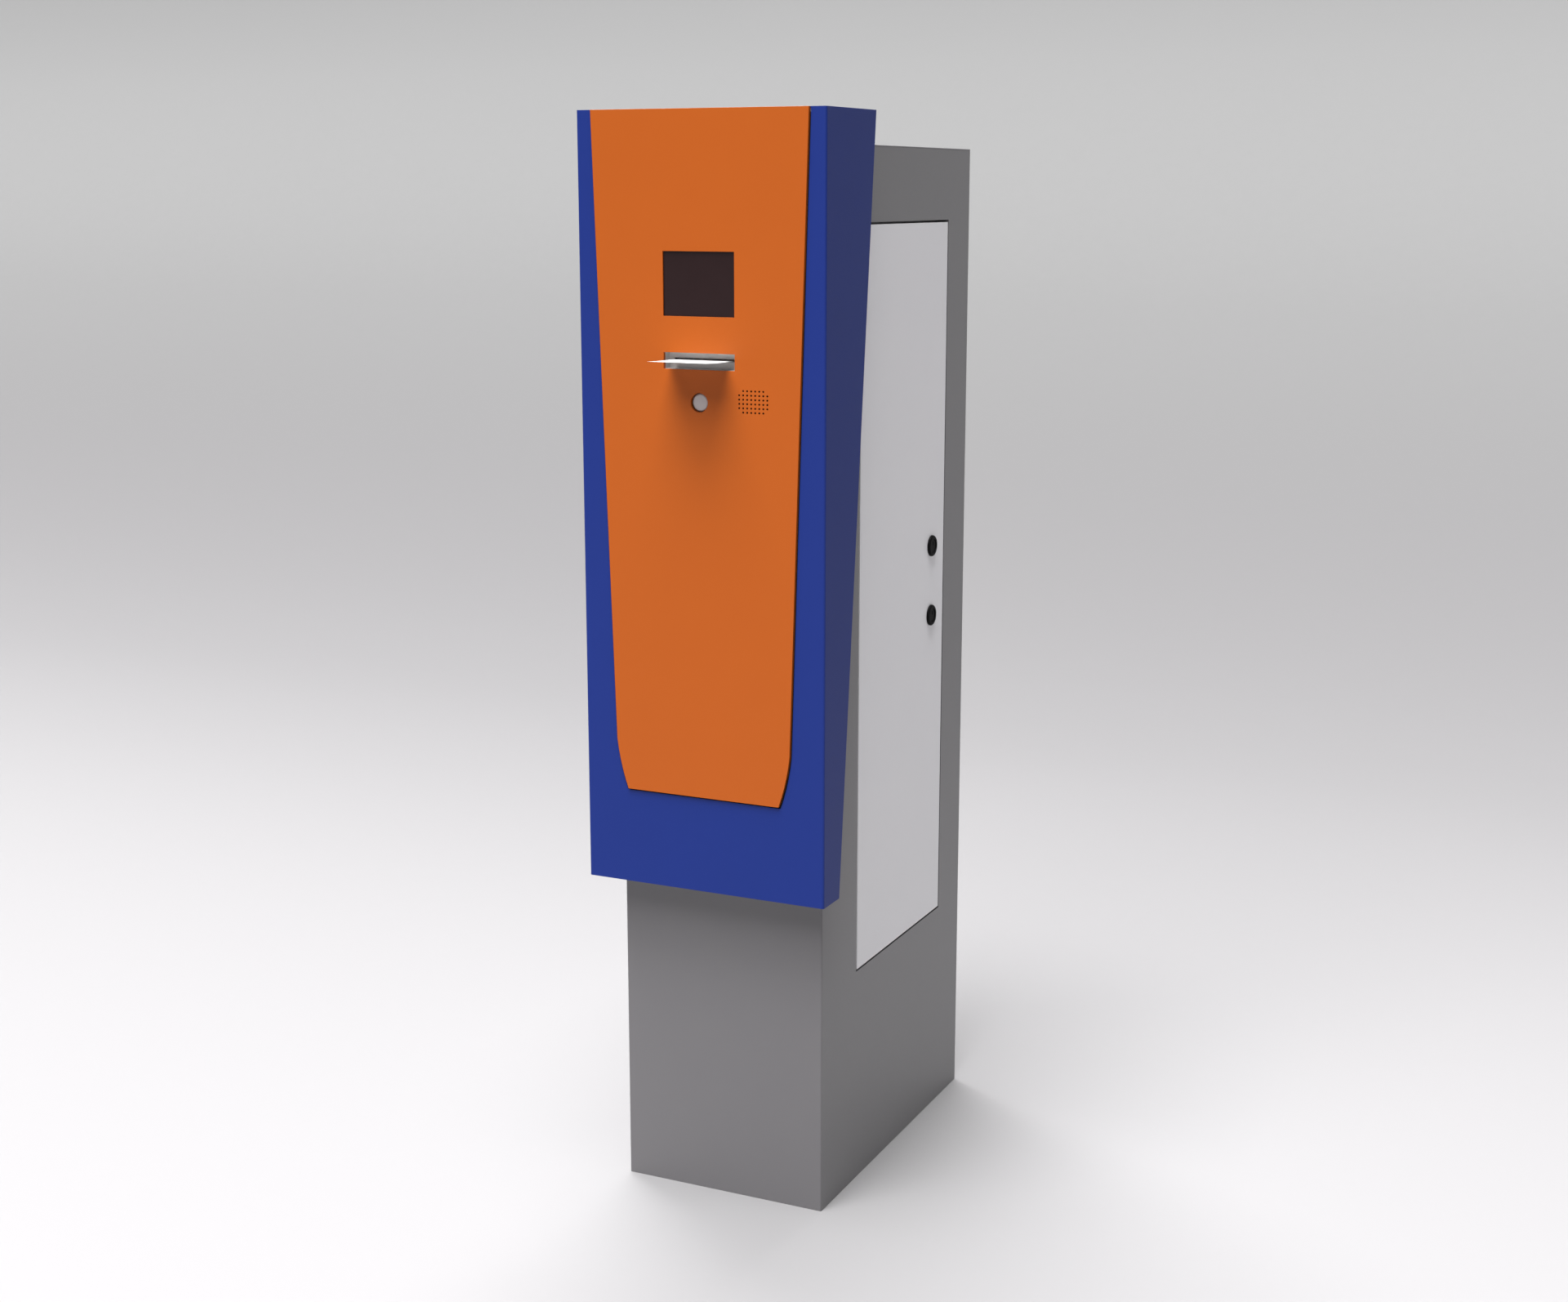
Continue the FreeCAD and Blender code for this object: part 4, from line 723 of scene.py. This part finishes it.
motor_low, motor_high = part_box("stepper_motor")
zone(motor, ground_steel, lambda middle:
     not motor_low[0] + MOTOR_LEFT_CAP < middle.x < motor_high[0] - MOTOR_RIGHT_CAP)


# Paper roll: thermal paper wound on a cardboard core, on its spindle.  Its ends show the edges
# of the turns, and its bore shows the brown board.
PAPER_RINGS = 2.4 * MM
CORE_RADIUS = 12 * MM


def wound_paper():
    """The roll's ends: turns 0.06 mm thick, drawn as rings 2.4 mm apart so that they show."""
    material, shader = new_material("wound_paper_edges")
    low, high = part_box("paper_roll")
    middle = (0, -(low[1] + high[1]) / 2, -(low[2] + high[2]) / 2)
    place = add_node(material, "ShaderNodeTexCoord")
    centred = add_node(material, "ShaderNodeMapping", {"Location": middle},
                       {"Vector": place.outputs["Object"]})
    rings = add_node(material, "ShaderNodeTexWave", {
        "wave_type": "RINGS", "rings_direction": "X", "Scale": 1 / (math.pi * PAPER_RINGS),
        "Distortion": 2.0, "Detail": 2}, {"Vector": centred.outputs["Vector"]})
    relief = add_node(material, "ShaderNodeBump", {"Strength": 0.2, "Distance": 0.05 * MM},
                      {"Height": rings.outputs["Fac"]})
    tone = add_node(material, "ShaderNodeMix", {
        "data_type": "RGBA", 6: linear_colour("#c9cccd"), 7: linear_colour("#e2e5e6")},
        {0: rings.outputs["Fac"]})
    finish_shader(material, shader, {
        "Base Color": tone.outputs[2],
        "Normal": relief.outputs["Normal"]}, Roughness=0.8)
    return material


def cardboard():
    """Spiral-wound grey board: fibre clouds about 1.5 mm wide."""
    material, shader = new_material("core_board")
    place = add_node(material, "ShaderNodeTexCoord")
    fibre = add_node(material, "ShaderNodeTexNoise", {"Scale": 1 / (1.5 * MM), "Detail": 5},
                     {"Vector": place.outputs["Object"]})
    tone = add_node(material, "ShaderNodeMix", {
        "data_type": "RGBA", 6: linear_colour("#8b7a63"), 7: linear_colour("#a4927a")},
        {0: fibre.outputs["Fac"]})
    finish_shader(material, shader, {"Base Color": tone.outputs[2]}, Roughness=0.9)
    return material


roll = rounded("paper_roll", 0.3, paper)
roll_low, roll_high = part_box("paper_roll")
roll_middle = (roll_low[1] + roll_high[1]) / 2, (roll_low[2] + roll_high[2]) / 2


def from_roll_axis(middle):
    """How far a point is from the roll's axis."""
    return math.hypot(middle.y - roll_middle[0], middle.z - roll_middle[1])


roll_end = roll_high[0] - 0.05 * MM
zone(roll, wound_paper(), lambda middle: abs(middle.x) > roll_end)
zone(roll, cardboard(), lambda middle:
     from_roll_axis(middle) < CORE_RADIUS and abs(middle.x) < roll_end)


# Electrics: housings in light grey moulded plastic on a rail, a mill-finish power supply, and a
# glass-epoxy controller board with its parts, all on the mounting plate inside the cabinet.
BOARD_SPACERS = 9.7 * MM
BOARD_TOP = 12 * MM
HEAT_SINK_ACROSS = (-60.5 * MM, -11.5 * MM)
HEAT_SINK_FROM = 94 * MM
CONNECTORS_FROM = 152.5 * MM


def solder_mask():
    """Green solder mask: tracks 2 mm wide show through as slightly lighter lines."""
    material, shader = new_material("green_solder_mask")
    place = add_node(material, "ShaderNodeTexCoord")
    tracks = add_node(material, "ShaderNodeTexVoronoi", {
        "distance": "MANHATTAN", "feature": "F1", "Scale": 1 / (9 * MM), "Randomness": 0.7},
        {"Vector": place.outputs["Object"]})
    bands = add_node(material, "ShaderNodeMath", {"operation": "PINGPONG", 1: 0.12},
                     {0: tracks.outputs["Distance"]})
    edge = add_node(material, "ShaderNodeMapRange", {"From Max": 0.12},
                    {"Value": bands.outputs["Value"]})
    tone = add_node(material, "ShaderNodeMix", {
        "data_type": "RGBA", 6: linear_colour("#0a3a1e"), 7: linear_colour("#16582f")},
        {0: edge.outputs["Result"]})
    finish_shader(material, shader, {"Base Color": tone.outputs[2]}, Roughness=0.3)
    return material


def mill_aluminium():
    """Mill-finish aluminium: rolling lines along Y, drawn 0.6 mm apart."""
    material, shader = new_material("mill_finish_aluminium")
    place = add_node(material, "ShaderNodeTexCoord")
    stretch = add_node(material, "ShaderNodeMapping", {"Scale": (1, 0.04, 1)},
                       {"Vector": place.outputs["Object"]})
    lines = add_node(material, "ShaderNodeTexNoise", {"Scale": 1 / (0.6 * MM), "Detail": 3},
                     {"Vector": stretch.outputs["Vector"]})
    polish = add_node(material, "ShaderNodeMapRange", {"To Min": 0.34, "To Max": 0.5},
                      {"Value": lines.outputs["Fac"]})
    tone = add_node(material, "ShaderNodeMix", {
        "data_type": "RGBA", 6: linear_colour("#b0b2b4"), 7: linear_colour("#c4c6c8")},
        {0: lines.outputs["Fac"]})
    finish_shader(material, shader, {
        "Base Color": tone.outputs[2], "Roughness": polish.outputs["Result"]}, Metallic=1)
    return material


# Polyamide: light grey and nearly matt.
light_housing = moulded("light_grey_polyamide", "#b6b7b5", "#bcbdbb", 0.5, 0.7)
aluminium = mill_aluminium()
for name in ("circuit_breaker", "terminal_block"):
    rounded(name, 0.4, light_housing)
rounded("power_supply", 0.4, aluminium)
rounded("breaker_toggle", 0.3, black_nylon)

board = rounded("controller_board", 0.25, solder_mask(), segments=1)
board_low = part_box("controller_board")[0]
# Connector blocks: green nylon, nearly matt.
connector = moulded("green_connector", "#2f6b45", "#377650", 0.45, 0.6)


def on_board(middle):
    """Above the board itself: one of the parts soldered to it."""
    return middle.x > board_low[0] + BOARD_TOP


zone(board, nickel, lambda middle: middle.x < board_low[0] + BOARD_SPACERS)
zone(board, black_nylon, on_board)
zone(board, aluminium, lambda middle:
     on_board(middle) and HEAT_SINK_ACROSS[0] < middle.y < HEAT_SINK_ACROSS[1] and
     middle.z > board_low[2] + HEAT_SINK_FROM)
zone(board, connector, lambda middle:
     on_board(middle) and middle.z > board_low[2] + CONNECTORS_FROM)
